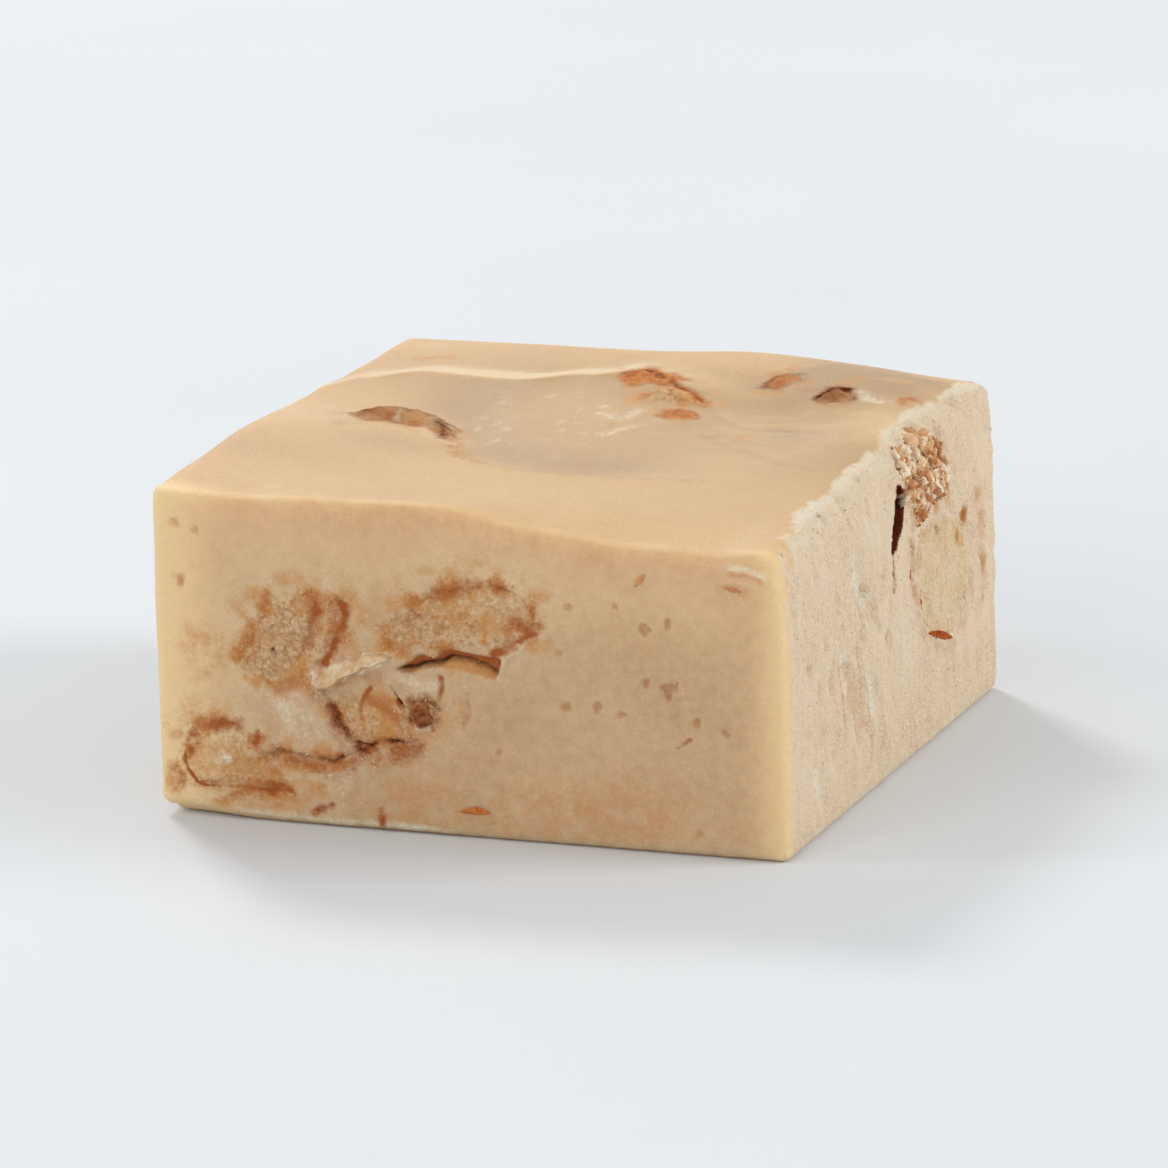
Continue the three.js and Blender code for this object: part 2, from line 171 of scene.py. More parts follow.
def lobed(u, v, long, wide):
    """The outline of a nut section with three lobes."""
    angle = np.arange(LOBE_POINTS) / LOBE_POINTS * 2 * math.pi
    reach = 1 + LOBE_SWELL * np.cos(LOBE_COUNT * angle)
    return np.stack([u + long * reach * np.cos(angle), v + wide * reach * np.sin(angle)], 1).tolist()


NUTS = {
    "nut_front_left": Nut("front", "nut_flesh", "flush", 0.05, 4, [
        (-20.3, 15.2), (-19.6, 13.4), (-15.8, 12.9), (-11.4, 16.9), (-10.9, 20.4), (-15, 21), (-18, 20.2)]),
    "nut_front_right": Nut("front", "nut_flesh", "flush", 0.05, 4.5, [
        (-7.2, 17.2), (-2.4, 17), (2.3, 17.4), (6.4, 19.8), (5.3, 22.3), (3.1, 23.1), (-0.5, 22.7),
        (-4.3, 21.1)], (-0.1, 0)),
    "nut_front_flake": Nut("front", "nut_pale", "plate", 0.8, 2.2, [
        (-13.9, 13.6), (-12.5, 12.9), (-9, 14.8), (-7, 15.9), (-8.3, 16.3), (-11.5, 15.3)], (-0.05, -0.2)),
    "nut_front_middle": Nut("front", "nut_flesh", "flush", 0.05, 3.5, [
        (-11.6, 12.2), (-11.7, 10.3), (-10.7, 8.3), (-8.2, 7.8), (-5.6, 8.5), (-6, 10.4), (-8, 11.5),
        (-10, 12.3)]),
    "nut_front_skin": Nut("front", "nut_skin_dark", "dome", 0.5, 2, [
        (-5.3, 11.8), (-4.6, 9.7), (-3.1, 10.7), (-4, 12.1)]),
    "nut_front_low": Nut("front", "nut_flesh", "flush", 0.05, 4, [
        (-26.8, 5.1), (-25.2, 2.6), (-20.2, 2.7), (-17.2, 3), (-17.6, 5), (-20, 7), (-20.9, 8.8),
        (-23.2, 8.6), (-25.5, 7.5)]),
    "nut_front_strip": Nut("front", "nut_flesh", "flush", 0.1, 2, [
        (-16, 5), (-12.8, 4.7), (-10.4, 5.6), (-10.3, 7), (-12.8, 6.1), (-16, 6.2)]),
    "nut_top_left": Nut("top", "nut_skin_dark", "dome", 0.75, 3, [
        (-21.5, -1.2), (-20.6, 0.8), (-18, 1.9), (-15.2, 1.9), (-12.6, -0.2), (-11, -3.2), (-10.8, -5.6),
        (-12.4, -4.6), (-14.6, -3.4), (-18.4, -3.2)], bare=0.75),
    "nut_top_crest": Nut("top", "nut_skin", "dome", 0.35, 3, [
        (-3.2, 17.4), (-0.4, 16.7), (2.5, 17.6), (1.2, 20.2), (-1.2, 21.3), (-2.9, 20.2)], bare=0.9),
    "nut_top_lobe": Nut("top", "nut_flesh", "dome", 0.5, 3, [
        (0.9, 13.4), (3.6, 13), (6, 14.2), (4.6, 15.8), (2.4, 16.1), (1, 15.3)], bare=0.9),
    "nut_top_lower": Nut("top", "nut_skin", "dome", 0.35, 2.4, [
        (3.4, 9.2), (5.2, 8.4), (7, 9.2), (5.9, 11.2), (4.4, 11.4)], bare=0.9),
    "nut_top_back": Nut("top", "nut_skin", "dome", 0.3, 2.4, [
        (9.2, 21.4), (10.9, 21.1), (12.5, 22.2), (11.4, 24), (9.8, 23.4)], bare=0.8),
    "nut_top_dark": Nut("top", "nut_skin_dark", "dome", 0.4, 2.4, [
        (14.9, 19.1), (16, 18.3), (18, 19.2), (17.2, 20.8), (15.5, 20.7)], bare=0.9),
    "nut_side_crumbs": Nut("right", "nut_flesh", "flush", 0.0, 3.5, [
        (5.4, 26.8), (5.6, 24.8), (8.3, 22), (11.5, 22.4), (15.5, 22.6), (17, 24.6), (15.6, 27.2), (12, 28),
        (8.6, 27.6)]),
    "nut_side_pale": Nut("right", "nut_pale", "flush", 0.05, 4.5, [
        (7.2, 19.6), (6.4, 15), (9.5, 10.6), (14.5, 8.9), (19.2, 10.2), (21.4, 14.4), (19.6, 18.2),
        (15, 20.2), (10.5, 20.6)]),
    "nut_back_wide": Nut("back", "nut_flesh", "flush", 0.05, 4.5, lobed(8, 13.5, 7.5, 4.6)),
    "nut_back_small": Nut("back", "nut_skin", "flush", 0.05, 3.5, lobed(-13, 19.5, 4.4, 3), bare=0.7),
    "nut_left_wide": Nut("left", "nut_flesh", "flush", 0.05, 4.5, lobed(-9, 17, 6.2, 4.2)),
    "nut_left_small": Nut("left", "nut_flesh", "flush", 0.05, 3.5, lobed(13, 10, 4.6, 2.8)),
}

# The crack of the front: its outline, and the line along its dark bottom
CRACK = [
    (-6.3, 14.9), (-5.2, 14.5), (-4, 15), (-2.4, 15.2), (-1, 15.1), (0.8, 14.8), (2.4, 14.5), (2.9, 15.3),
    (3.1, 16.4), (2.4, 16.6), (1.2, 16.7), (-1.2, 17), (-2.3, 16.8), (-2.9, 16.2), (-4.2, 16.4), (-5.2, 15.7)]
CRACK_LINE = [
    (-6.2, 14.8), (-5, 15), (-4, 15.4), (-2.8, 15.6), (-1.4, 16.2), (0, 16.1), (1.4, 15.7), (2.8, 15.1)]
CRACK_SHELF, CRACK_GAP, CRACK_GAP_WIDTH, CRACK_SLAB = 0.45, 1.3, 0.18, 1.2

# The open slit of the right face
SLIT = [(3.1, 25.4), (4.6, 24.6), (2.8, 22), (0.3, 20.2), (1, 22.6)]
SLIT_DEPTH = 1.3

# Soft lines of stain on each face, some of them painted shade, highlights and glow: stain, width, strength,
# the relief that goes with it, and the line
FRONT_STROKES = [
    # The upper left nut of the front: two folds of skin on its right, a golden fringe on its left
    ("skin", 0.55, 0.9, -0.1, [(-13.6, 20.2), (-13.4, 19.2), (-13.7, 18.3), (-14.3, 16.6)]),
    ("skin", 0.5, 1.0, -0.1, [(-11.2, 20.4), (-10.8, 19.5), (-11.1, 18.4), (-12.3, 15.9), (-12.9, 15)]),
    ("amber", 0.9, 0.6, 0, [(-12.2, 21), (-10.8, 20.4)]),
    ("skin", 1.1, 0.5, 0, [(-11.5, 20.2), (-11.4, 18.4), (-12.4, 16.6)]),
    ("pale", 0.3, 0.35, 0.1, [(-12.5, 18.6), (-12.8, 17.4), (-13.1, 16.4)]),
    # A small dark pit, darkened with painted shade
    ("dark", 0.17, 1, -0.4, [(-17.6, 15.8), (-17.3, 15.4)]),
    ("skin", 0.4, 0.5, 0, [(-19.3, 15.3), (-19.1, 14.5)]),
    ("amber", 0.55, 0.9, 0, [(-20, 13.1), (-19.2, 12.7)]),
    ("amber", 0.7, 0.45, 0, [(-18.9, 18.9), (-19.4, 17), (-19.3, 15.6)]),
    ("skin", 0.3, 0.35, -0.06, [(-17.2, 14.8), (-15.6, 15), (-14.6, 16)]),
    # The upper right nut of the front: a rusty halo along its arc, and its right end under a broken edge
    ("skin", 0.8, 0.5, 0, [(-7, 18.5), (-5.4, 19.9), (-4.2, 21), (-3, 21.6)]),
    ("skin", 1.0, 0.65, 0, [(-2.4, 22), (-0.4, 22.5), (1.6, 22.9), (3.8, 22.7)]),
    ("amber", 1.3, 0.4, 0, [(3.8, 22.2), (5.8, 21.3), (6.3, 20)]),
    ("amber", 1.4, 0.6, 0, [(-2, 19.6), (0.4, 20.2), (2.8, 19.4)]),
    ("skin", 0.8, 0.7, 0, [(3.8, 19.8), (5, 19.4), (6.2, 19.2)]),
    ("skin", 0.5, 0.95, 0, [(2.4, 16.9), (3.6, 17.5), (4.6, 18.1), (6, 19)]),
    ("pale", 0.2, 0.4, 0.1, [(2.7, 14.7), (3.2, 15.8), (3.5, 16.7), (4.8, 17.3), (5.4, 18.2), (6.8, 18.9)]),
    # Below the crack: a caramel painted shadow, a red streak and chipped crumbs
    ("amber", 0.8, 0.45, 0, [(-1.1, 14.4), (-0.9, 12.6), (-0.6, 10.8)]),
    ("skin", 0.35, 0.4, 0, [(0, 13), (0.1, 11.6), (-0.4, 10.4)]),
    ("skin", 0.25, 0.7, -0.15, [(-2.4, 14.5), (-2.2, 13.5), (-2.6, 12.5)]),
    ("pale", 0.8, 0.3, 0.1, [(-6.2, 14), (-4.6, 13.7), (-3, 13.6)]),
    ("pale", 2.6, 0.35, 0, [(-16.4, 11), (-15, 8.6), (-13.6, 9.4)]),
    # Painted highlights on the flake's bright lower edge and at the gleam of its tip
    ("pale", 0.22, 0.8, 0.05, [(-13.5, 13.4), (-12.9, 12.8), (-12.3, 12.8)]),
    ("pale", 0.35, 0.9, 0.15, [(-14.1, 13.9), (-13.8, 13.4)]),
    # The middle nut of the front: dark skin on its left and below, orange strips across it
    ("skin", 0.5, 0.9, -0.1, [(-13.4, 12.4), (-12.6, 11.7), (-11.9, 10.7), (-11.3, 9.4), (-10.8, 8.4)]),
    ("dark", 0.6, 0.6, -0.15, [(-13, 12), (-12, 10.6), (-11.4, 9.2), (-10.7, 8.2), (-9.6, 7.4)]),
    ("skin", 0.55, 0.55, -0.05, [(-10.2, 7.4), (-8.4, 7.2), (-6.4, 7.6)]),
    ("dark", 0.2, 0.8, -0.2, [(-10, 8), (-8.8, 7.8), (-7.8, 8.4), (-5.3, 8.4)]),
    ("skin", 1.3, 0.65, 0, [(-13.2, 12), (-11.9, 9.8), (-10.4, 7.6), (-7.6, 7.2), (-5, 8)]),
    ("skin", 0.25, 0.8, -0.05, [(-8.8, 13), (-9.4, 12.1), (-9.7, 11), (-9.6, 10.2)]),
    ("skin", 0.32, 0.9, -0.1, [(-6.3, 12), (-5.6, 10.9), (-5, 10)]),
    ("dark", 0.14, 0.9, -0.2, [(-6.9, 13.3), (-6.3, 12.3), (-5.7, 11.3), (-5.2, 10.3)]),
    ("amber", 2.2, 0.5, 0, [(-10.5, 10.8), (-8, 9.6)]),
    ("skin", 0.3, 0.6, 0, [(-9, 6.4), (-8.1, 5.6)]),
    ("dark", 0.5, 0.7, 0.1, [(-5.2, 12), (-3.8, 12.5), (-2.8, 11.6), (-3.1, 10.2)]),
    # The lower left nut of the front: a thin line round its end and foot, a rusty arch, a pale chip
    ("skin", 0.17, 1, -0.1, [
        (-25.9, 6), (-26.1, 5.3), (-25.7, 4.2), (-25, 3.3), (-24.3, 3), (-21, 3.1), (-18, 3), (-16.5, 3.1)]),
    ("skin", 0.7, 0.8, 0, [(-25.7, 6.3), (-25, 7.4), (-23.8, 8.3), (-22.4, 8.8), (-21.2, 8.8)]),
    ("skin", 0.6, 0.6, 0, [(-24.4, 3.3), (-21, 3.5), (-17.8, 3.5)]),
    ("amber", 2.0, 0.55, 0, [(-24.6, 5.6), (-21.6, 5.6), (-18.4, 4.4)]),
    ("pale", 0.4, 0.5, 0.1, [(-22.9, 5.3), (-22.5, 6.1), (-22, 5.6)]),
    ("skin", 0.4, 0.9, -0.1, [(-19.2, 8.2), (-19.4, 7.4), (-19.5, 6.8)]),
    ("skin", 0.8, 0.35, 0, [(-18.8, 8), (-19, 6.8), (-18, 6.2)]),
    # The strip that runs right from it
    ("dark", 0.22, 0.65, -0.2, [(-18.6, 6.1), (-17, 6.6), (-15, 6.4), (-12.4, 6.1), (-10.4, 7)]),
    ("skin", 0.9, 0.65, 0, [(-19, 6.4), (-16.4, 6.2), (-13, 5.7), (-10.6, 6.4)]),
    ("skin", 0.4, 0.6, 0, [(-17.6, 6), (-14.6, 5.8), (-12.8, 5.5)]),
    ("amber", 0.6, 0.8, 0, [(-16.8, 5.2), (-13.4, 5.5), (-11, 5.8)]),
    ("pale", 0.25, 0.35, 0.12, [(-12.7, 4.8), (-11.2, 5.3), (-10.3, 6)]),
    ("skin", 0.4, 0.9, -0.1, [(-18, 2.8), (-17.3, 3.6), (-16.3, 3.1)]),
    ("amber", 0.8, 0.8, 0, [(-18.2, 2.5), (-15.4, 2.4)]),
    # Flecks, a painted glow near the left edge, painted shade low along the front, and the pale crumbled
    # strip along the foot of the front
    ("amber", 0.4, 0.7, 0, [(-16.4, 2.3), (-15.2, 2.4)]),
    ("skin", 0.4, 1.1, -0.1, [(-14.1, 1.4), (-12.7, 2)]),
    ("skin", 0.35, 0.9, 0.1, [(-8.1, 2.3), (-8, 0.7)]),
    # Painted glow of light through the left edge
    ("amber", 2.6, 0.45, 0, [(-24, 15.8), (-23.2, 14)]),
    # Painted shade, darker and more golden, low along the front
    ("amber", 5.0, 0.36, 0, [(-6, 3), (4, 2.6), (16, 3.4)]),
    ("amber", 0.4, 0.5, -0.05, [(-26.3, 21.8), (-25.7, 21.5)]),
    ("skin", 0.2, 0.6, -0.2, [(18.8, 9.7), (19.9, 10.5)]),
    ("amber", 0.8, 0.4, 0, [(22.9, 24.4), (24.8, 24)]),
    ("pale", 0.35, 0.7, 0.12, [(23.6, 26.1), (25, 26), (26.6, 25.6)]),
    ("amber", 0.25, 0.6, -0.25, [(23.8, 25.5), (25.2, 25.5), (26.4, 25)]),
    ("pale", 0.35, 0.6, 0.1, [(-21, 0.9), (-14, 0.6), (-8, 0.7), (-1.5, 0.5)]),
]
TOP_STROKES = [
    # The left nut of the top: dark along its upper edge and down its right end, painted highlights between
    ("dark", 0.8, 0.6, 0, [(-19.6, -0.5), (-18, 0), (-14.7, -0.1), (-13.2, -1), (-12, -2.1)]),
    ("dark", 0.8, 0.6, 0, [(-13, -1.5), (-11.6, -4), (-10.9, -6.4)]),
    ("skin", 1.0, 0.5, 0, [(-20, -1.4), (-18.4, -1), (-17, -2.7)]),
    ("pale", 0.4, 0.5, 0.05, [(-17.3, 0.4), (-16.7, -2.6)]),
    ("pale", 0.6, 0.5, 0.08, [(-13.3, -4.4), (-12.1, -6.2)]),
    ("skin", 2.0, 0.25, 0, [(-22.3, -4), (-20.4, -5.3), (-19.2, -3.6)]),
    ("skin", 1.2, 0.4, 0, [(-10.6, -5.8), (-8.1, -10.3), (-5.1, -12.1)]),
    # The cluster on the fold: dark upper edges and the rings of the cut lobe
    ("dark", 0.5, 0.55, 0, [(-2.9, 19.5), (-1.5, 19.8), (0.2, 18.8), (1.7, 17.8)]),
    ("dark", 0.5, 0.5, -0.1, [(1.2, 17.2), (1.8, 17.6), (2.5, 17.2)]),
    ("skin", 0.6, 0.8, -0.1, [(3, 16.8), (4.1, 16), (5, 15.3), (5.6, 14)]),
    ("skin", 0.35, 0.6, -0.12, [(1.5, 14.1), (2.6, 14.4), (3.4, 13.8)]),
    ("amber", 0.8, 0.7, 0, [(1.2, 16.1), (2.3, 16.3), (3.3, 16.2)]),
    ("amber", 1.4, 0.5, 0, [(1.6, 14.8), (5.2, 14.6)]),
    # The two nuts of the back mound and a spot beside them
    ("dark", 0.6, 0.5, 0, [(9.2, 20.8), (9.8, 22.2), (11.1, 22.9), (12, 23.7)]),
    ("dark", 0.7, 0.9, 0, [(15, 19.3), (15.6, 19.9), (15.9, 20.5), (17.2, 20.6)]),
    ("skin", 0.9, 0.6, 0, [(15.6, 19.2), (17.4, 19.6)]),
    ("amber", 0.8, 0.6, 0, [(16.9, 22.7), (17.6, 23.3)]),
    # Darker across the front of the mound
    ("skin", 2.4, 0.2, 0, [(13, 18.4), (18, 17.6), (23, 17)]),
    # Streaks, creases and painted highlights of the top, and painted shadow along the hollow's lip
    # Painted shadow along the lip of the hollow
    ("skin", 1.2, 0.22, 0, [(-8.1, -10.3), (-4.9, -12.9), (-1.1, -13.4), (6.1, -12.6), (14.7, -11.4)]),
    ("amber", 0.6, 0.7, 0, [(-23.9, 21.2), (-22.5, 22), (-21.1, 22.7)]),
    ("skin", 0.8, 0.2, -0.2, [(5.6, 15.8), (8.3, 11.3), (12.2, 7.7), (15.6, 7.4), (19.4, 6.5)]),
    ("skin", 0.8, 0.15, -0.16, [(10.3, 3.4), (15, -0.7), (19.3, -3.7), (22.7, -5.3)]),
    ("skin", 0.8, 0.12, -0.12, [(8.3, 7.2), (13.5, 2.9), (18.7, 1.2), (22.7, 3.1), (23.7, 9.8)]),
    # A broad soft darkening over the right of the top
    ("skin", 6.0, 0.12, 0, [(12, 4), (16, -4), (24, -8)]),
    ("amber", 0.6, 0.7, 0, [(12.5, 4.1), (12.8, 4.3)]),
    ("skin", 1, 0.6, 0, [(23, 19.5), (23.5, 20.2)]),
    ("pale", 0.9, 0.35, 0.08, [(-1.6, 10.2), (0.2, 5.8), (1.2, 6.4), (1.6, 10)]),
    ("pale", 0.8, 0.3, 0.08, [(1.2, 1), (3.4, 5.1)]),
    ("pale", 0.7, 0.45, 0.08, [(18.2, 20.2), (20.2, 19.4), (22.3, 18.6)]),
    ("skin", 0.7, 0.12, -0.05, [(-12.2, 25.7), (-7.7, 25.8), (0.2, 25.4)]),
]
RIGHT_STROKES = [
    # The scoops of the right face, pale inside, with painted shade along their left walls; stains and seams
    ("pale", 1.2, 0.9, -0.6, [(-9, 21.8), (-8.4, 19), (-7, 17.4)]),
    ("amber", 0.5, 0.5, -0.2, [(-10.6, 21.6), (-10.2, 19), (-8.6, 16.8), (-6.4, 16.2)]),
    ("pale", 1.0, 0.9, -0.5, [(-13.8, 14), (-13, 12), (-12.4, 10.2)]),
    ("amber", 0.5, 0.5, -0.2, [(-15.2, 14), (-14.6, 11.8), (-13.6, 9.4)]),
    ("pale", 0.9, 0.9, -0.5, [(-6.5, 10.4), (-5.8, 8)]),
    ("amber", 0.5, 0.5, -0.2, [(-7.9, 10.4), (-7.2, 7.4)]),
    ("pale", 0.8, 1.0, -0.3, [(-21.5, 5.5), (-20.8, 3.2)]),
    ("amber", 1.0, 0.35, 0, [(8, 11.4), (12, 8.8), (16, 7)]),
    ("dark", 0.2, 0.6, -0.1, [(0.4, 20.5), (0.3, 19.3), (0.2, 16.6)]),
    ("dark", 0.4, 0.8, -0.3, [(4.6, 27.6), (5, 26.6), (6.4, 26.8)]),
    ("amber", 0.9, 1.0, 0, [(21, 19), (19.1, 18.2), (18.3, 17.2)]),
    ("skin", 0.5, 0.6, -0.1, [(20.8, 19.4), (19.4, 17.8)]),
    ("amber", 1.4, 0.6, 0, [(24.5, 20), (25.5, 14), (25, 10)]),
    ("amber", 0.9, 0.6, 0, [(5.4, 20), (5.6, 16), (7, 13)]),
]
STROKES = {"front": FRONT_STROKES, "top": TOP_STROKES, "right": RIGHT_STROKES}

# Pits: along and up the face, and radius
PITS = {
    "front": [
        (16.1, 20.1, 0.55), (18.1, 20.7, 0.5), (9.3, 21.6, 0.4), (8.8, 12.7, 0.55), (11.8, 12.8, 0.6),
        (13.9, 12.2, 0.5), (18.2, 14.9, 0.9), (16.2, 15.4, 0.5), (20.6, 12.1, 0.5), (23.1, 11.2, 0.45),
        (20.6, 2.1, 0.4), (2.7, 8.1, 0.4), (13.4, 21.9, 0.3), (8.3, 17.4, 0.3), (-26.2, 26.6, 0.5),
        (-24.3, 26.2, 0.4), (-25.8, 21.4, 0.5), (-8.5, 13.9, 0.8),
    ],
    "right": [
        (-20.5, 23.6, 0.6), (-15.2, 19.6, 0.7), (-20.8, 12.9, 0.6), (-19.1, 17, 0.6), (-14, 8.1, 0.7),
    ],
    "back": [],
    "left": [],
    "top": [],
}
HIDDEN_PITS, HIDDEN_PIT_SEED = 14, 5
HIDDEN_PIT_SPAN, HIDDEN_PIT_HEIGHTS, HIDDEN_PIT_RADII = 0.45, (3, 24), (0.3, 0.75)
PIT_DEPTH, PIT_BORDER, PIT_RAGGED = 0.4, (1.1, 0.4), 0.5  # in shares of its radius
PIT_TALL = {"front": 1.0, "right": 2.2, "back": 1.0, "left": 1.0, "top": 1.0}

# Shreds of nut skin lying in the faces: face, width and the line along each
FLECKS = [
    ("front", 0.9, [(-1.1, 2.4), (0.6, 2.6), (2, 2.5)]),
    ("front", 0.7, [(15.1, 23.7), (15.7, 24.5), (16.3, 25.1)]),
    ("front", 0.6, [(22.9, 24.4), (23.9, 24.2), (24.8, 24)]),
    ("right", 0.6, [(4.5, 17.8), (4.7, 17.2), (4.9, 16.5)]),
    ("right", 0.5, [(6.8, 14.5), (7.1, 14.1), (7.3, 13.6)]),
    ("right", 1.0, [(9.2, 10.6), (12.8, 9.5), (16.6, 8.2)]),
]

NOISE_TABLE = 32

# Noises on a face: size or sizes, octaves and seed
STROKE_EDGES, STROKE_PATCHES = (0.9, 3, 31), (1.1, 2, 33)
NUT_EDGES, NUT_FILM, HALO_PATCHES = (0.8, 3, 35), (2.5, 2, 37), (1.5, 2, 121)
PIT_EDGES = 0.5, 2, 41
SKIN_FOLDS = (1.8, 1.2, 1.0), 2, 131
GLAZE_GLINTS, MOUND_SWIRLS = ((0.9, 1.3, 1), 2, 151), ((5.0, 1.4, 1), 2, 153)

# The lumps of nut flesh: how the large and the small ones are bent and waved, and size and seed of each
LUMP_BEND, LUMP_BEND_U, LUMP_BEND_V, LUMP_WAVES = 0.35, (0.9, 2, 143), (0.9, 2, 145), (2.4, 2, 141)
LARGE_LUMPS, SMALL_LUMPS = (0.5, 147), (0.28, 149)


# Numbers


def smooth_step(low, high, value):
    t = np.clip((value - low) / (high - low), 0, 1)
    return t * t * (3 - 2 * t)


def lattice_noise(points, size, seed):
    """Smooth noise from -1 to 1, with features of the given size or sizes along each axis."""
    table = np.random.default_rng(seed).uniform(-1, 1, (NOISE_TABLE,) * 3)
    cell = points / size
    low = np.floor(cell).astype(int)
    t = cell - low
    t = t * t * (3 - 2 * t)
    total = np.zeros(len(points))
    for corner in itertools.product((0, 1), repeat=3):
        i, j, k = ((low + corner) % NOISE_TABLE).T
        total += np.prod(np.where(corner, t, 1 - t), axis=1) * table[i, j, k]
    return total


def layered_noise(points, size, octaves, seed):
    size = np.asarray(size, float)
    layers = [lattice_noise(points, size / 2**i, seed + i) / 2**i for i in range(octaves)]
    return sum(layers)


def flat_noise(u, v, size, octaves, seed):
    return layered_noise(np.column_stack([u, v, np.zeros(len(u))]), size, octaves, seed)


def cell_lumps(u, v, size, seed):
    """Rounded lumps of about one size, from 0 in the creases between them to 1 on their tops."""
    table = np.random.default_rng(seed).uniform(0, 1, (NOISE_TABLE, NOISE_TABLE, 2))
    place = np.stack([u, v], 1) / size
    low = np.floor(place).astype(int)
    nearest = np.full(len(u), np.inf)
    for step in itertools.product((-1, 0, 1), repeat=2):
        cell = low + step
        centre = cell + table[cell[:, 0] % NOISE_TABLE, cell[:, 1] % NOISE_TABLE]
        nearest = np.minimum(nearest, ((place - centre) ** 2).sum(1))
    return np.clip(1 - nearest, 0, 1)


def flesh_lumps(u, v):
    """The broken surface of nut flesh, about -1 to 1."""
    bent_u = u + LUMP_BEND * flat_noise(u, v, *LUMP_BEND_U)
    bent_v = v + LUMP_BEND * flat_noise(u, v, *LUMP_BEND_V)
    large, small = (2 * cell_lumps(bent_u, bent_v, *lumps) - 1 for lumps in (LARGE_LUMPS, SMALL_LUMPS))
    return 0.6 * large + 0.4 * small + 0.4 * flat_noise(u, v, *LUMP_WAVES)


def closed_curve(corners, count):
    """Points on the smooth closed curve through the corners."""
    p = np.asarray(corners, float)
    t = np.arange(count) / count * len(p)
    i = t.astype(int)
    t = (t - i)[:, None]
    a, b, c, d = (p[(i + k) % len(p)] for k in (-1, 0, 1, 2))
    return b + 0.5 * t * (c - a + t * (2 * a - 5 * b + 4 * c - d + t * (3 * (b - c) + d - a)))


def line_distance(u, v, points):
    """Distance to a line through the points."""
    best = np.full(u.shape, np.inf)
    for (u0, v0), (u1, v1) in zip(points[:-1], points[1:]):
        du, dv = u1 - u0, v1 - v0
        t = np.clip(((u - u0) * du + (v - v0) * dv) / (du * du + dv * dv), 0, 1)
        best = np.minimum(best, np.hypot(u - u0 - t * du, v - v0 - t * dv))
    return best


def signed_distance(u, v, outline):
    """Distance to a closed outline, less than zero inside it."""
    ring = [*outline, outline[0]]
    inside = np.zeros(u.shape, bool)
    for (u0, v0), (u1, v1) in zip(ring[:-1], ring[1:]):
        crosses = (v0 > v) != (v1 > v)
        reach = (v - v0) / (v1 - v0 + 1e-12)
        inside ^= crosses & (u < u0 + reach * (u1 - u0))
    away = line_distance(u, v, ring)
    return np.where(inside, -away, away)


def near(u, v, points, margin):
    low, high = np.min(points, 0) - margin, np.max(points, 0) + margin
    return (u > low[0]) & (u < high[0]) & (v > low[1]) & (v < high[1])


# The block's form


def corner_plane(x, y):
    right, back = x / WIDTH + 0.5, y / DEPTH + 0.5
    front = FRONT_LEFT + (FRONT_RIGHT - FRONT_LEFT) * right
    rear = BACK_LEFT + (BACK_RIGHT - BACK_LEFT) * right
    return front + (rear - front) * back


def line_at(points, x):
    """The value at x of a smooth line through points given from left to right."""
    places, values = np.array(points, float).T
    i = np.clip(np.searchsorted(places, x, side="right") - 1, 0, len(places) - 2)
    share = smooth_step(places[i], places[i + 1], x)
    return values[i] + share * (values[i + 1] - values[i])


def front_wave(x, y):
    behind = y + DEPTH / 2
    return line_at(FRONT_WAVE, x) * np.exp(-((behind / FRONT_WAVE_REACH) ** 2))


def fold_length(x):
    """From 0 to 1, how much of the fold there is along its crest."""
    start = smooth_step(-WIDTH / 2, FOLD_EDGE_SPAN - WIDTH / 2, x)
    return (FOLD_EDGE_SHARE + (1 - FOLD_EDGE_SHARE) * start) / (1 + np.exp((x - FOLD_END_X) / FOLD_FADE))


def fold_rise(x, y):
    behind = y - line_at(FOLD_CREST, x)
    slope = np.exp(np.minimum(behind, 0) / FOLD_SLOPE)
    fall = np.exp(-((np.maximum(behind, 0) / FOLD_BACK_WIDTH) ** 2))
    return FOLD_RISE * fold_length(x) * slope * fall


def hollow_length(x):
    """From 0 to 1, how much of the hollow there is along its edge."""
    return smooth_step(*HOLLOW_START, x) * (1 - smooth_step(*HOLLOW_END, x))


def hollow_drop(x, y):
    behind = np.maximum(y - line_at(HOLLOW_EDGE, x), 0)
    profile = (1 - np.exp(-behind / HOLLOW_LIP)) * np.exp(-behind / HOLLOW_LENGTH)
    return HOLLOW_DROP * hollow_length(x) * profile


def top_height(x, y):
    z = corner_plane(x, y) + front_wave(x, y) + fold_rise(x, y) - hollow_drop(x, y)
    for centre_x, centre_y, rise, long, wide, turn in SWELLS:
        c, s = math.cos(math.radians(turn)), math.sin(math.radians(turn))
        along = (x - centre_x) * c + (y - centre_y) * s
        across = (y - centre_y) * c - (x - centre_x) * s
        z = z + rise * np.exp(-((along / long) ** 2) - (across / wide) ** 2)
    return z


def shoulder_inset(y, depth_below_top):
    along = SHOULDER_INSET + SHOULDER_DEEPEST * np.exp(-(((y - SHOULDER_Y) / SHOULDER_SPREAD) ** 2))
    back_end = 1 - SHOULDER_BACK_FADE * smooth_step(SHOULDER_FADE_START, DEPTH / 2, y)
    return along * back_end * np.exp(-np.maximum(depth_below_top, 0) / SHOULDER_REACH)


def worn_lift(x, y, z):
    from_corner = np.hypot(x + WIDTH / 2, y + DEPTH / 2)
    rim = np.maximum(np.abs(x) / (WIDTH / 2), np.abs(y) / (DEPTH / 2))
    low = np.maximum(1 - z / WORN_HEIGHT, 0)
    return WORN_LIFT * smooth_step(*WORN_RIM, rim) * low * np.exp(-((from_corner / WORN_SPREAD) ** 2))


def skewed(p):
    """Block places, skewed as the block was cut."""
    x, y, z = p.T
    lean = z / MEAN_HEIGHT - 0.5
    return np.stack([
        x + y * BACK_SHIFT_X / DEPTH + lean * TOP_LEAN_X,
        y + x * RIGHT_SHIFT_Y / WIDTH + lean * TOP_LEAN_Y,
        z,
    ], 1)


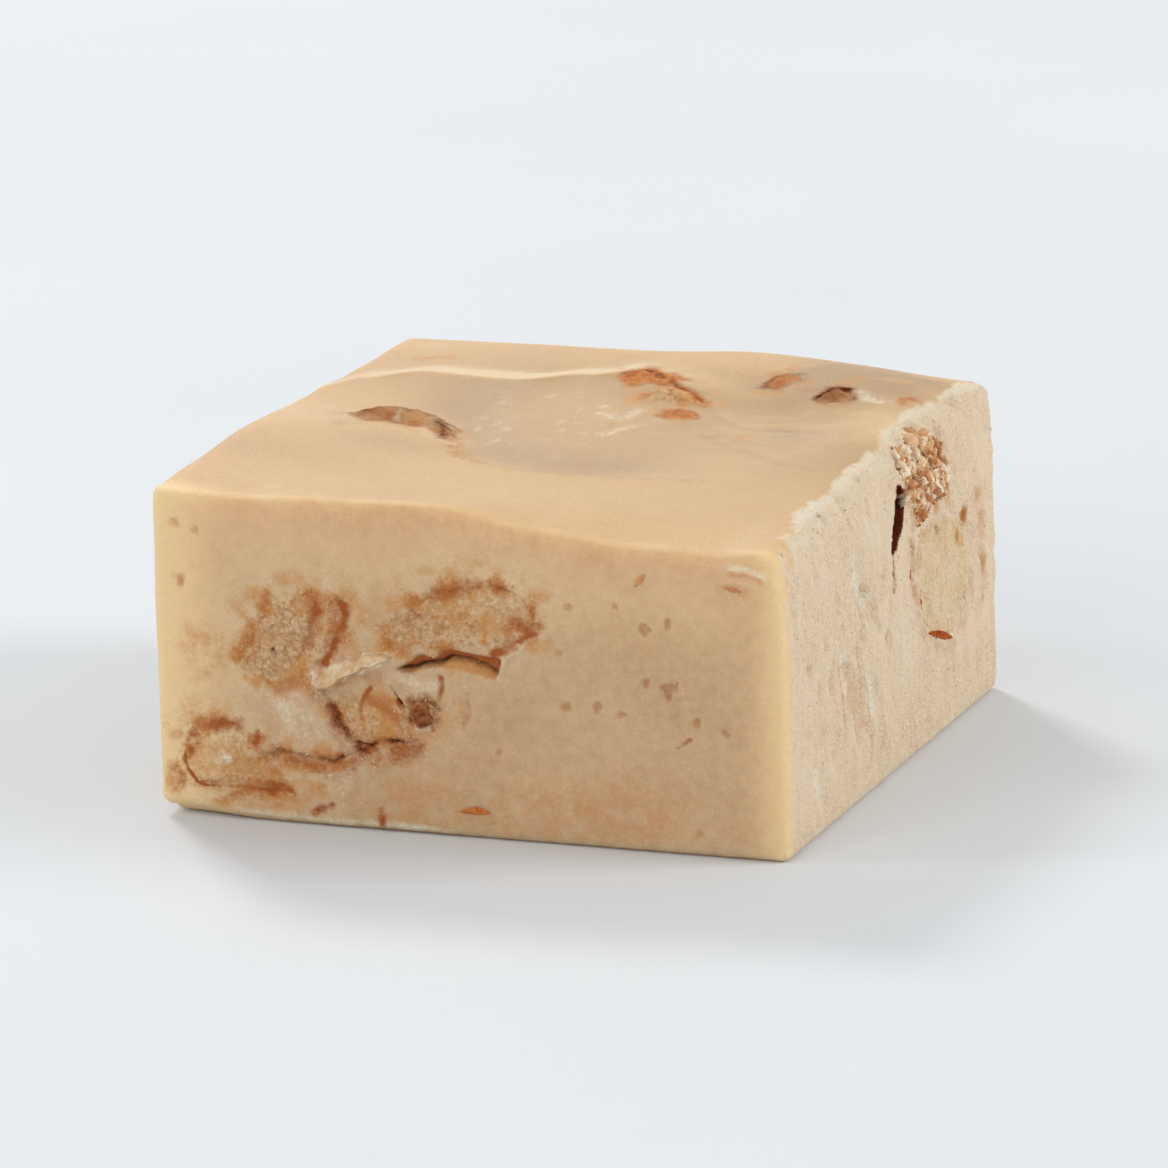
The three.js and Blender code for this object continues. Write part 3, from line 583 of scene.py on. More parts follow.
def rounded(p):
    """Box places moved on to rounded edges, and the way out at each."""
    radius = BASE_EDGE_RADIUS + (TOP_EDGE_RADIUS - BASE_EDGE_RADIUS) * p[:, 2] / MEAN_HEIGHT
    middle = np.array([0, 0, MEAN_HEIGHT / 2])
    half = np.array([WIDTH, DEPTH, MEAN_HEIGHT]) / 2 - radius[:, None]
    core = np.clip(p - middle, -half, half) + middle
    out = p - core
    out /= np.linalg.norm(out, axis=1)[:, None]
    return core + out * radius[:, None], out


def block_form(box_places):
    """The plain block: places on it, and the way out at each."""
    p, out = rounded(box_places)
    x, y, z = p.T
    height = top_height(x, y)
    z = z * height / MEAN_HEIGHT
    near_right = smooth_step(WIDTH / 2 - SHOULDER_SPAN, WIDTH / 2, x)
    x = x - near_right * shoulder_inset(y, height - z)
    z = z + worn_lift(x, y, z)
    return np.stack([x, y, z], 1), out


# The faces, each with its own coordinates along and up it, seen from outside

FACE_AXES = {
    "front": ((1, 0, 0), (0, 0, 1), (0, -1, 0)),
    "back": ((-1, 0, 0), (0, 0, 1), (0, 1, 0)),
    "left": ((0, -1, 0), (0, 0, 1), (-1, 0, 0)),
    "right": ((0, 1, 0), (0, 0, 1), (1, 0, 0)),
    "top": ((1, 0, 0), (0, 1, 0), (0, 0, 1)),
}


def face_coordinates(face, p):
    along, up, _ = np.array(FACE_AXES[face], float)
    return p @ along, p @ up


def on_face(face, u, v, out):
    """Block places of points given along, up and out of a face."""
    along, up, outward = np.array(FACE_AXES[face], float)
    if face == "top":
        level = top_height(u, v)
    elif face == "right":
        below_top = top_height(WIDTH / 2 + 0 * u, u) - v
        turned = np.clip(TOP_EDGE_RADIUS - below_top, 0, TOP_EDGE_RADIUS)
        rounding = TOP_EDGE_RADIUS - np.sqrt(TOP_EDGE_RADIUS**2 - turned**2)
        level = WIDTH / 2 - shoulder_inset(u, below_top) - rounding
    else:
        level = DEPTH / 2 if face in ("front", "back") else WIDTH / 2
    return u[:, None] * along + v[:, None] * up + (level + out)[:, None] * outward


# Relief and stains

# Layers of noise in the relief: height, size or sizes along each axis, seed, and octaves where not two
TORN_EDGE, TORN_FRONT = (0.7, 2.0, 55, 3), (0.5, 3.0, 57)
TORN_GRAIN = 0.08, 0.5, 65
TORN_CRAGS = 0.13, (1.2, 1.6, 2.2), 61
TORN_STREAKS = 0.1, (1.5, 0.9, 5.0), 71
CHIPS = 1, (3.0, 1.8, 3.2), 73, 3
CUT_WAVES, CUT_GRAIN, CRUMBLED_WAVES = (0.1, 9.0, 81), (0.03, 0.8, 91), (0.5, 2.5, 95)
POURED_WAVES, HOLLOW_CREASES = (0.07, (7.0, 4.0, 7.0), 97), (0.05, (1.6, 0.9, 2.0), 99)

TORN_BORDER = 0.25
CRUMBLED_GRAIN, CRUMBLED_HEIGHT = 0.13, (1.9, 0.5)  # more grain in a crumbled band along the base

# The chips: depth, stain, border, how far they keep to their patch, and the patch's centre and half sizes
CHIP_DEPTH, CHIP_STAIN, CHIP_BORDER, CHIP_PATCH = 0.45, 0.28, (0.05, 0.25), 0.7
CHIPS_Y, CHIPS_Z, CHIPS_LONG, CHIPS_TALL = -11, 13, 8, 9

# The ledge before the back mound, and the creases in the hollow: where they start and end
LEDGE_RISE, LEDGE_LENGTH, LEDGE_BORDER, LEDGE_LEFT, LEDGE_RIGHT = 0.45, 4, 0.4, (9, 13), (25.5, 23)
CREASE_START, CREASE_END = (0, 3), (15, 9)


def layer(p, height, size, seed, octaves=2):
    return height * layered_noise(p, size, octaves, seed)


def torn_share(p):
    """From 0 on the smooth skin to 1 on the torn right side, which starts just behind the front edge."""
    past_edge = p[:, 0] - np.interp(p[:, 1], RAGGED_Y, RAGGED_X) + layer(p, *TORN_EDGE)
    behind_front = p[:, 1] + DEPTH / 2 + layer(p, *TORN_FRONT)
    return smooth_step(-TORN_BORDER, TORN_BORDER, past_edge) * smooth_step(*TORN_START, behind_front)


def chip_share(p):
    """From 0 to 1 in the chips that the knife pulled off the torn side round one place on it."""
    _, y, z = p.T
    patch = np.exp(-(((y - CHIPS_Y) / CHIPS_LONG) ** 2) - ((z - CHIPS_Z) / CHIPS_TALL) ** 2)
    return smooth_step(*CHIP_BORDER, layer(p, *CHIPS) - CHIP_PATCH * (1 - patch))


def torn_relief(p):
    """The torn right face: sandy grain, crags, streaks drawn up and down by the knife, and chips."""
    rough = sum(layer(p, *row) for row in (TORN_GRAIN, TORN_CRAGS, TORN_STREAKS))
    return rough - CHIP_DEPTH * chip_share(p) - TORN_STEP


def cut_relief(p):
    """A smooth cut face: slight waves, fine grain and a crumbled band along the base."""
    height, size, seed = CUT_GRAIN
    crumbled = smooth_step(*CRUMBLED_HEIGHT, p[:, 2] + layer(p, *CRUMBLED_WAVES))
    return layer(p, *CUT_WAVES) + layer(p, height + CRUMBLED_GRAIN * crumbled, size, seed)


def poured_relief(p):
    """The poured top: soft waves, the fold's crest, creases in the hollow, a ledge before the back mound."""
    x, y, _ = p.T
    past_crest = y - line_at(FOLD_CREST, x)
    crest = CREST_RISE * np.exp(-np.abs(past_crest) / CREST_WIDTH)
    terrace = TERRACE_RISE * np.exp(-(((past_crest - TERRACE_MIDDLE) / TERRACE_HALF) ** 2))
    past_lip = y - line_at(HOLLOW_EDGE, x)
    in_hollow = hollow_length(x) * smooth_step(*CREASE_START, past_lip) * smooth_step(*CREASE_END, y)
    behind = y - line_at(MOUND_FOOT, x)
    ledge = LEDGE_RISE * smooth_step(-LEDGE_BORDER, LEDGE_BORDER, behind)
    ledge = ledge * np.exp(-np.maximum(behind, 0) / LEDGE_LENGTH)
    ledge *= smooth_step(*LEDGE_LEFT, x) * smooth_step(*LEDGE_RIGHT, x)
    creases = in_hollow * layer(p, *HOLLOW_CREASES)
    return layer(p, *POURED_WAVES) + fold_length(x) * (crest + terrace) + creases + ledge


def base_relief(face, p):
    """Relief of a face before its marks, where the torn side takes over from the smooth skin."""
    smooth = poured_relief(p) if face == "top" else cut_relief(p)
    torn = torn_share(p)
    return smooth + torn * (torn_relief(p) - smooth)


def stroke_fields(face, u, v):
    """Relief and the four stains that the strokes give at places on a face, painted shade and highlights
    among them.
    """
    relief = np.zeros(len(u))
    stains = np.zeros((len(u), CHANNELS))
    ragged = flat_noise(u, v, *STROKE_EDGES)
    patchy = np.clip(0.85 + 0.6 * flat_noise(u, v, *STROKE_PATCHES), 0.15, 1.1)
    for stain, width, strength, rise, points in STROKES.get(face, []):
        at = near(u, v, points, 4 * width)
        away = line_distance(u[at], v[at], points) + min(0.4 * width, 0.3) * ragged[at]
        share = np.exp(-((np.maximum(away, 0) / width) ** 2))
        channel = STAINS.index(stain)
        stains[at, channel] = np.maximum(stains[at, channel], strength * share * patchy[at])
        relief[at] += rise * share
    return relief, stains


def pit_fields(face, u, v):
    relief = np.zeros(len(u))
    inside = np.zeros(len(u))
    ragged = flat_noise(u, v, *PIT_EDGES)
    for pit_u, pit_v, radius in PITS[face]:
        away = np.hypot(u - pit_u, (v - pit_v) / PIT_TALL[face]) / radius + PIT_RAGGED * ragged
        share = smooth_step(*PIT_BORDER, away)
        relief -= PIT_DEPTH * radius * share
        inside = np.maximum(inside, share)
    return relief, inside


def hidden_pits():
    """Pits of the faces that the photograph doesn't show, like those of the front."""
    rng = np.random.default_rng(HIDDEN_PIT_SEED)
    for face, length in (("back", WIDTH), ("left", DEPTH)):
        for _ in range(HIDDEN_PITS):
            along = rng.uniform(-HIDDEN_PIT_SPAN, HIDDEN_PIT_SPAN) * length
            PITS[face].append((along, rng.uniform(*HIDDEN_PIT_HEIGHTS), rng.uniform(*HIDDEN_PIT_RADII)))


def ragged_outline(name):
    """A nut's outline with the small irregularities of a broken piece."""
    u, v = closed_curve(NUTS[name].outline, OUTLINE_POINTS).T
    seed = 100 + list(NUTS).index(name)
    shift = [flat_noise(u, v, WOBBLE_SIZE, 2, seed + 50 * k) for k in (0, 1)]
    return np.stack([u, v], 1) + WOBBLE * np.stack(shift, 1)


OUTLINES = {name: ragged_outline(name) for name in NUTS}


def root_depth(depth, outline, away):
    """How deep a nut's root, or its pocket, is at a distance inside the outline."""
    widest = -signed_distance(*outline.mean(0)[:, None], outline)[0]
    inward = np.clip(-away / widest, 0, 1)
    return LIP + (depth - LIP) * np.sqrt(1 - (1 - inward) ** 2)


def nut_share(nut, u, v, away):
    """From 0 outside a nut's outline to 1 where it lies bare inside, with a soft and ragged border."""
    border = BORDER[nut.face]
    film = np.clip(nut.bare + (1 - nut.bare) * flat_noise(u, v, *NUT_FILM), 0, 1)
    return film * smooth_step(border, -border, away + NUT_RAGGED * flat_noise(u, v, *NUT_EDGES))


NUT_CHANNEL = {"nut_pale": "pale", "nut_skin": "skin", "nut_skin_dark": "dark"}
# Halos at a nut's border, of the skin's colour and of amber: strengths and reaches
HALO = {
    "nut_flesh": (0.4, 0.72),
    "nut_pale": (0.1, 0.3),
    "nut_skin": (0.45, 0.5),
    "nut_skin_dark": (0.4, 0.4),
}
HALO_REACH = 0.9, 2.3
BESIDE_REACH = 2.5  # beside a nut the fudge lets less light through


def nut_fields(face, u, v):
    """What the nuts give at places on a face: stains, flesh, rough flesh, their seats, what lies beside."""
    stains = np.zeros((len(u), CHANNELS))
    flesh, rough, seat, beside = np.zeros((4, len(u)))
    patchy = np.clip(0.5 + 1.1 * flat_noise(u, v, *HALO_PATCHES), 0, 1.3)
    for name, nut in NUTS.items():
        if nut.face != face:
            continue
        at = near(u, v, OUTLINES[name], NUT_MARGIN)
        away = signed_distance(u[at], v[at], OUTLINES[name])
        share = nut_share(nut, u[at], v[at], away)
        rough[at] = np.maximum(rough[at], share)
        seat[at] = np.minimum(seat[at], -SEAT * smooth_step(*SEAT_BORDER, away))
        if nut.slot in NUT_CHANNEL:
            channel = STAINS.index(NUT_CHANNEL[nut.slot])
            stains[at, channel] = np.maximum(stains[at, channel], share)
        else:
            flesh[at] = np.maximum(flesh[at], share)
        outside = np.maximum(away, 0)
        beside[at] = np.maximum(beside[at], np.exp(-((outside / BESIDE_REACH) ** 2)))
        for stain, strength, reach in zip(("skin", "amber"), HALO[nut.slot], HALO_REACH):
            channel = STAINS.index(stain)
            halo = strength * np.exp(-((away / reach) ** 2)) * patchy[at]
            stains[at, channel] = np.maximum(stains[at, channel], halo)
    return stains, flesh, rough, seat, beside


def crack_fields(u, v):
    """The crack of the front: a rusty shelf over a dark gap of painted shade, and a slab that rises to the
    lower lip, amber with painted shade.
    """
    relief, stains = np.zeros(len(u)), np.zeros((len(u), CHANNELS))
    outline = closed_curve(CRACK, OUTLINE_POINTS)
    at = near(u, v, outline, CLEFT_MARGIN)
    inside = smooth_step(0.08, -0.25, signed_distance(u[at], v[at], outline))
    below = line_at(CRACK_LINE, u[at]) - v[at]
    gap = np.exp(-((below / CRACK_GAP_WIDTH) ** 2))
    shelf = 1 - smooth_step(0, CRACK_SLAB, below)
    relief[at] = -inside * (CRACK_SHELF * shelf + CRACK_GAP * gap)
    over = smooth_step(0.1, -0.1, below)
    # Painted shade: dark in the gap and amber on the slab below the shelf
    for stain, share in (("skin", 0.9 * over), ("dark", 0.55 * gap), ("amber", 0.8 * (1 - over))):
        stains[at, STAINS.index(stain)] = inside * share
    return relief, stains


def slit_fields(u, v):
    """The slit of the right face, dark with painted shade up to its rim."""
    relief, stains = np.zeros(len(u)), np.zeros((len(u), CHANNELS))
    outline = closed_curve(SLIT, OUTLINE_POINTS)
    at = near(u, v, outline, CLEFT_MARGIN)
    away = signed_distance(u[at], v[at], outline)
    relief[at] = -SLIT_DEPTH * smooth_step(0.1, -0.4, away)
    # Painted shade in the slit
    stains[at, STAINS.index("dark")] = smooth_step(0.4, 0.05, away)
    return relief, stains


def cleft_fields(face, u, v):
    """Relief and stains, with painted shade, of the open hollow of a face, if it has one."""
    if face == "front":
        return crack_fields(u, v)
    if face == "right":
        return slit_fields(u, v)
    return np.zeros(len(u)), np.zeros((len(u), CHANNELS))


# Painted glow of light through the thin fudge below the top edge, and at upright edges: side in x and in y,
# strength, reach
GLOW_TOP, GLOW_BELOW, GLOW_TOP_REACH = 0.3, 4.5, 4.5
GLOW_EDGES = [(-1, -1, 0.9, 6.2), (1, -1, 0.85, 2.6), (-1, 1, 0.3, 3.0), (1, 1, 0.4, 2.0)]
GLOW_SQUEEZE = 2.2  # the glow is this much narrower on the left and right faces than on the front

# Painted shade and light of the top: shade where its slope falls to the front and in the hollow, painted
# light on the bright band behind the fold's crest
SLOPE_STEP, SLOPE_GAIN, SLOPE_END = 0.3, 5.0, (26, 20)
SHADES_START = -24, -16
HOLLOW_SHADE, HOLLOW_SHADE_LENGTH = 1.1, 12
BAND_SHADE, BAND_WIDTH = 1.1, 4.0

# Darkening of the mound and of the saddle before it, added to the painted shade of the top: centre x and y,
# shade, half length, half width
MOUND_SHADES = [(18, 25, 1.7, 7, 4.5), (15, 8, 0.9, 9, 9)]

PALE_EDGE, PALE_EDGE_REACH = 0.95, 2.4  # the whitish crumbled band along the ragged edge

# Painted glints on the glaze: share, then where they start and end behind the hollow's edge, in y and in x
GLINT_SHARE, GLINT_START, GLINT_END = 0.28, (0, 6), (16, 11)
GLINT_LEFT, GLINT_RIGHT = (-17, -12), (4, -1)


def edge_glow(p):
    """From 0 to 1, how much glow is painted where light comes through the thin fudge at the upright edges and
    below the top.
    """
    x, y, z = p.T
    below = np.maximum(top_height(x, y) - z, 0)
    glow = GLOW_TOP * np.exp(-(((below - GLOW_BELOW) / GLOW_TOP_REACH) ** 2))
    glow = glow * smooth_step(WIDTH / 2, WIDTH / 2 - GLOW_TOP_REACH, x)
    for side_x, side_y, strength, reach in GLOW_EDGES:
        away = np.hypot(x - side_x * WIDTH / 2, GLOW_SQUEEZE * (y - side_y * DEPTH / 2))
        glow = np.maximum(glow, strength * np.exp(-((away / reach) ** 2)))
    return glow


def top_painted_shade(p):
    """Painted shade of the top, from -1 on the painted bright band to 1 in the hollow and where it falls to
    the front, darker too over the mound and the saddle.
    """
    x, y, _ = p.T
    steps = -SLOPE_STEP, SLOPE_STEP
    lower, upper = (top_height(x, y + step) + hollow_drop(x, y + step) for step in steps)
    past_lip = y - line_at(HOLLOW_EDGE, x)
    hollow = HOLLOW_SHADE * hollow_length(x) * smooth_step(-1, 5, past_lip)
    hollow = hollow * np.exp(-np.maximum(past_lip, 0) / HOLLOW_SHADE_LENGTH)
    behind = y - line_at(FOLD_CREST, x)
    band = BAND_SHADE * fold_length(x) * smooth_step(-0.4, 0.4, behind)
    band = band * np.exp(-((behind / BAND_WIDTH) ** 2))
    rise = SLOPE_GAIN * (upper - lower) / (2 * SLOPE_STEP) * smooth_step(*SLOPE_END, y)
    swirl = 0.8 + 0.5 * flat_noise(x + 0.6 * y, y - 0.3 * x, *MOUND_SWIRLS)
    mound = swirl * sum(
        shade * np.exp(-(((x - centre_x) / long) ** 2) - ((y - centre_y) / wide) ** 2)
        for centre_x, centre_y, shade, long, wide in MOUND_SHADES)
    return np.clip(rise + hollow + mound - band, -1, 1) * smooth_step(*SHADES_START, y)


def hollow_painted_glints(x, y):
    """Painted glints on the glaze in the hollow of the top."""
    inside = smooth_step(*GLINT_START, y - line_at(HOLLOW_EDGE, x)) * smooth_step(*GLINT_END, y)
    inside = inside * smooth_step(*GLINT_LEFT, x) * smooth_step(*GLINT_RIGHT, x)
    return GLINT_SHARE * inside * smooth_step(0.1, 1.0, flat_noise(x, y, *GLAZE_GLINTS))


def past_ragged_edge(p):
    """How far places lie beyond the ragged edge, along the top and down the side."""
    x, y, z = p.T
    return np.maximum(x - np.interp(y, RAGGED_Y, RAGGED_X), 0) + np.maximum(top_height(x, y) - z, 0)


def add_stain(look, stain, share):
    channel = STAINS.index(stain)
    look.stain[:, channel] = np.maximum(look.stain[:, channel], share)


def face_fields(face, u, v, p):
    """Relief and look at places on a face, the same for the fudge and for the nuts set in it."""
    look = blank_look(len(u))
    stroke_relief, stroke_stains = stroke_fields(face, u, v)
    pit_relief, in_pit = pit_fields(face, u, v)
    cleft_relief, cleft_stains = cleft_fields(face, u, v)
    nut_stains, flesh, rough, seat, beside = nut_fields(face, u, v)
    torn = torn_share(p)
    lumps = flesh_lumps(u, v)
    look.stain[:] = np.maximum(np.maximum(stroke_stains, nut_stains), cleft_stains)
    if face == "top":
        look.stain[:, STAINS.index("pale")] += hollow_painted_glints(u, v)
    if face == "right":
        add_stain(look, "amber", CHIP_STAIN * torn * chip_share(p))
    add_stain(look, "pale", PALE_EDGE * torn * np.exp(-past_ragged_edge(p) / PALE_EDGE_REACH))
    look.finish[:, TORN] = torn
    look.finish[:, POURED] = (face == "top") * (1 - torn)
    look.finish[:, NUT_SHARE] = flesh
    look.finish[:, IN_PIT] = in_pit * (1 - 0.8 * torn)
    look.tone[:, LUMP] = np.clip(0.5 + 0.5 * lumps, 0, 1)
    look.tone[:, NEAR_NUT] = beside
    look.tone[:, GLOW] = edge_glow(p)
    look.tone[:, SLOPE] = 0.5 + 0.5 * (face == "top") * top_painted_shade(p)
    relief = base_relief(face, p) + stroke_relief + pit_relief + cleft_relief
    return relief + LUMP_RELIEF[face] * rough * lumps, seat, look


# Meshes


def add_piece(mesh):
    mesh.shade_smooth()
    piece = bpy.data.objects.new(mesh.name, mesh)
    bpy.context.scene.collection.objects.link(piece)
    return piece


def new_piece(name, places_mm, polygons):
    mesh = bpy.data.meshes.new(name)
    mesh.from_pydata((skewed(places_mm) * MM).tolist(), [], polygons)
    return add_piece(mesh)


def set_look(piece, look):
    """Stores the look as attributes of four numbers for each vertex."""
    for name, values in zip(Look._fields, look):
        attribute = piece.data.attributes.new(name, "FLOAT_COLOR", "POINT")
        attribute.data.foreach_set("color", np.asarray(values, np.float32).ravel())


def faces_in(bm, face, low, high):
    """The faces of a box mesh that look out of a face of the block and lie in a region of it."""
    along, up, outward = (Vector(axis) for axis in FACE_AXES[face])
    inside = []
    for f in bm.faces:
        middle = f.calc_center_median()
        u, v = middle.dot(along), middle.dot(up)
        if f.normal.dot(outward) > 0.9 and low[0] < u < high[0] and low[1] < v < high[1]:
            inside.append(f)
    return inside


def box_grid():
    """A box of quads with the grid's step, finer in the fine regions, as a bmesh in millimetres."""
    bm = bmesh.new()
    size = Vector((WIDTH, DEPTH, MEAN_HEIGHT))
    centre = Matrix.Translation((0, 0, MEAN_HEIGHT / 2))
    bmesh.ops.create_cube(bm, size=1, matrix=centre @ Matrix.Diagonal((*size, 1)))
    for axis in range(3):
        along = [e for e in bm.edges if abs((e.verts[0].co - e.verts[1].co)[axis]) > size[axis] / 2]
        cuts = round(size[axis] / GRID_STEP) - 1
        bmesh.ops.subdivide_edges(bm, edges=along, cuts=cuts, use_grid_fill=True)
    for region in FINE_REGIONS:
        edges = list(dict.fromkeys(e for f in faces_in(bm, *region) for e in f.edges))
        bmesh.ops.subdivide_edges(bm, edges=edges, cuts=1, use_grid_fill=True)
    return bm


def fudge_surface(box_places):
    """The fudge's places on the block, and its look."""
    p, out = block_form(box_places)
    look = blank_look(len(p))
    move = np.zeros(len(p))
    for face, (_, _, outward) in FACE_AXES.items():
        share = np.clip(out @ np.array(outward, float), 0, 1) ** 2
        at = share > 0.02
        keep = share[at]
        u, v = (c[at] for c in face_coordinates(face, p))
        relief, seat, face_look = face_fields(face, u, v, p[at])
        move[at] += keep * relief + seat * (keep > 0.3)
        for whole, part in zip(look, face_look):
            whole[at] = np.maximum(whole[at], part * keep[:, None])
        if face == "top":
            look.tone[at, SLOPE] = face_look.tone[:, SLOPE]
    look.finish[:, TORN] = torn_share(p)
    look.tone[:, GLOW] = edge_glow(p)
    look.tone[:, SLOPE] = np.where(look.finish[:, POURED] > 0, look.tone[:, SLOPE], 0.5)
    move *= smooth_step(0.0, 0.6, p[:, 2])
    return p + out * move[:, None], look


BASE_AXES = (1, 0, 0), (0, -1, 0), (0, 0, -1)
BAKE_SPAN = 124  # millimetres across the whole map
BAKE_LOW, SIDE_LOW = (-31, -31), (-31, 0)  # the lowest places of the top and the base, and of the sides
BAKE_PLACES = {
    "top": (FACE_AXES["top"], ((0.0, 0.0), BAKE_LOW)),
    "base": (BASE_AXES, ((0.5, 0.0), BAKE_LOW)),
    "front": (FACE_AXES["front"], ((0.0, 0.5), SIDE_LOW)),
    "back": (FACE_AXES["back"], ((0.0, 0.75), SIDE_LOW)),
    "right": (FACE_AXES["right"], ((0.5, 0.5), SIDE_LOW)),
    "left": (FACE_AXES["left"], ((0.5, 0.75), SIDE_LOW)),
}


def bake_map(mesh):
    """Lays the faces of the plain box side by side in the map that patterns are baked to."""
    loops = np.empty(len(mesh.loops), int)
    mesh.loops.foreach_get("vertex_index", loops)
    sizes = np.empty(len(mesh.polygons), int)
    mesh.polygons.foreach_get("loop_total", sizes)
    normals = np.empty(len(mesh.polygons) * 3)
    mesh.polygons.foreach_get("normal", normals)
    places = np.empty(len(mesh.vertices) * 3)
    mesh.vertices.foreach_get("co", places)
    corners = places.reshape(-1, 3)[loops]
    normals = np.repeat(normals.reshape(-1, 3), sizes, axis=0)
    flat = np.empty((len(loops), 2))
    for (along, up, outward), (start, low) in BAKE_PLACES.values():
        at = normals @ np.array(outward, float) > 0.5
        flat[at] = corners[at] @ np.array([along, up], float).T
        flat[at] = (flat[at] - low) / BAKE_SPAN + start
    mesh.uv_layers.new(name="OFBake").data.foreach_set("uv", flat.ravel())


def make_fudge():
    bm = box_grid()
    mesh = bpy.data.meshes.new("fudge_block")
    bm.to_mesh(mesh)
    bm.free()
    box_places = np.empty(len(mesh.vertices) * 3)
    mesh.vertices.foreach_get("co", box_places)
    bake_map(mesh)
    places, look = fudge_surface(box_places.reshape(-1, 3))
    mesh.vertices.foreach_set("co", (skewed(places) * MM).ravel())
    mesh.update()
    piece = add_piece(mesh)
    set_look(piece, look)
    return piece, places, look


def ring_grid(outline, step):
    """Rings of an outline over a crown and down a root: places on the face, which are root, polygons."""
    centre = outline.mean(0)
    around = np.linalg.norm(np.diff(outline, axis=0, append=outline[:1]), axis=1).sum()
    count = max(24, round(around / step))
    t = np.arange(count) / count * len(outline)
    i = t.astype(int)
    ring = outline[i] + (t - i)[:, None] * (outline[(i + 1) % len(outline)] - outline[i])
    rings = max(8, round(np.linalg.norm(ring - centre, axis=1).mean() / step))
    shares = np.arange(1, rings + 1) / rings
    root_shares = shares[-2::-3]
    circles = [centre + s * (ring - centre) for s in (*shares, *root_shares)]
    flat = np.concatenate([[centre], *circles, [centre]])
    is_root = np.arange(len(flat)) >= 1 + count * rings
    ids = 1 + np.arange(len(circles))[:, None] * count + np.arange(count)
    after = np.roll(ids, -1, axis=1)
    quads = np.stack([ids[:-1], ids[1:], after[1:], after[:-1]], -1).reshape(-1, 4)
    first, last = np.zeros(count, int), np.full(count, len(flat) - 1)
    crown_cap = np.stack([first, ids[0], after[0]], 1)
    root_cap = np.stack([last, after[-1], ids[-1]], 1)
    return flat, is_root, quads.tolist() + crown_cap.tolist() + root_cap.tolist()


def crown_height(nut, outline, u, v, away):
    """Height of a nut's visible side above its face: cut flush, a raised plate, or a rounded top."""
    inward = np.maximum(-away, 0)
    rim = -SUNK * (1 - smooth_step(0, 0.3, inward))
    if nut.crown == "dome":
        folds = 1 - 2 * np.abs(flat_noise(u, v, *SKIN_FOLDS))
        dome = nut.proud * smooth_step(0, 0.9 * inward.max(), inward)
        return dome + FOLD_HEIGHT * folds * smooth_step(0, 0.7, inward) + rim
    centre_u, centre_v = outline.mean(0)
    tilt = nut.tilt[0] * (u - centre_u) + nut.tilt[1] * (v - centre_v)
    if nut.crown == "plate":
        return smooth_step(0, 0.25, inward) * (nut.proud + tilt) + rim
    return RISEN * smooth_step(0, 0.6, inward) + np.minimum(tilt, 0) + rim


def set_piece(nut, outline, step):
    """Places, polygons and look of a piece set into a face."""
    flat, is_root, polygons = ring_grid(outline, step)
    u, v = flat.T
    away = signed_distance(u, v, outline)
    base = on_face(nut.face, u, v, np.zeros(len(u)))
    relief, _, look = face_fields(nut.face, u, v, base)
    crown = crown_height(nut, outline, u, v, away) + relief
    out = np.where(is_root, -root_depth(nut.depth, outline, away), crown)
    look.finish[:, POURED] *= 0.5
    look.finish[:, NUT_SHARE] = nut_share(nut, u, v, away)
    if nut.slot in NUT_CHANNEL:
        channel = STAINS.index(NUT_CHANNEL[nut.slot])
        look.stain[:, channel] = stroke_fields(nut.face, u, v)[1][:, channel]
    return on_face(nut.face, u, v, out), polygons, look


def join_pieces(name, parts):
    """One piece from several lists of places, polygons and look."""
    places, polygons, looks = zip(*parts)
    starts = np.cumsum([0, *(len(p) for p in places)])
    joined = [[i + start for i in polygon] for start, group in zip(starts, polygons) for polygon in group]
    piece = new_piece(name, np.concatenate(places), joined)
    set_look(piece, Look(*(np.concatenate(values) for values in zip(*looks))))
    return piece


def shred(face, width, line):
    """A shred of skin: a pointed lens along a line."""
    line = np.array(line, float)
    along = line[-1] - line[0]
    across = np.array([-along[1], along[0]]) / np.linalg.norm(along) * width / 2
    middle = line[len(line) // 2]
    outline = closed_curve([line[0], middle - across, line[-1], middle + across], OUTLINE_POINTS // 2)
    nut = Nut(face, "nut_skin", "plate", 0.12, 0.6, outline.tolist())
    places, polygons, look = set_piece(nut, outline, FLECK_STEP)
    look.stain[:] = 0
    look.finish[:, NUT_SHARE] = 1
    look.tone[:, NEAR_NUT] = 1
    return places, polygons, look


def crumb_template(subdivisions):
    bm = bmesh.new()
    bmesh.ops.create_icosphere(bm, subdivisions=subdivisions, radius=1)
    places = np.array([v.co[:] for v in bm.verts])
    polygons = [[v.index for v in f.verts] for f in bm.faces]
    bm.free()
    return places, polygons


LARGE_CRUMB, SMALL_CRUMB = crumb_template(2), crumb_template(1)
CRUMB_STRETCH = 0.55, 1.35
CRUMB_LUMPS = 0.7, 0.8, 161


def crumb(rng, template, centre, radius, stain, nut, lump):
    """A broken grain of nut or fudge at a place on the block, with one look all over it."""
    shape, polygons = template
    turn = np.linalg.qr(rng.normal(size=(3, 3)))[0]
    turn *= np.sign(np.linalg.det(turn))
    stretch = rng.uniform(*CRUMB_STRETCH, 3)
    lumps = 1 + layer(shape + rng.uniform(0, 30, 3), *CRUMB_LUMPS)
    places = centre + (shape * lumps[:, None] * stretch) @ turn * radius
    look = blank_look(len(places))
    look.stain[:] = stain
    look.finish[:] = (0.0, 1.0, nut, 0.0)
    look.tone[:] = (lump, 0.0, 0.5, 1.0)
    return places, polygons, look


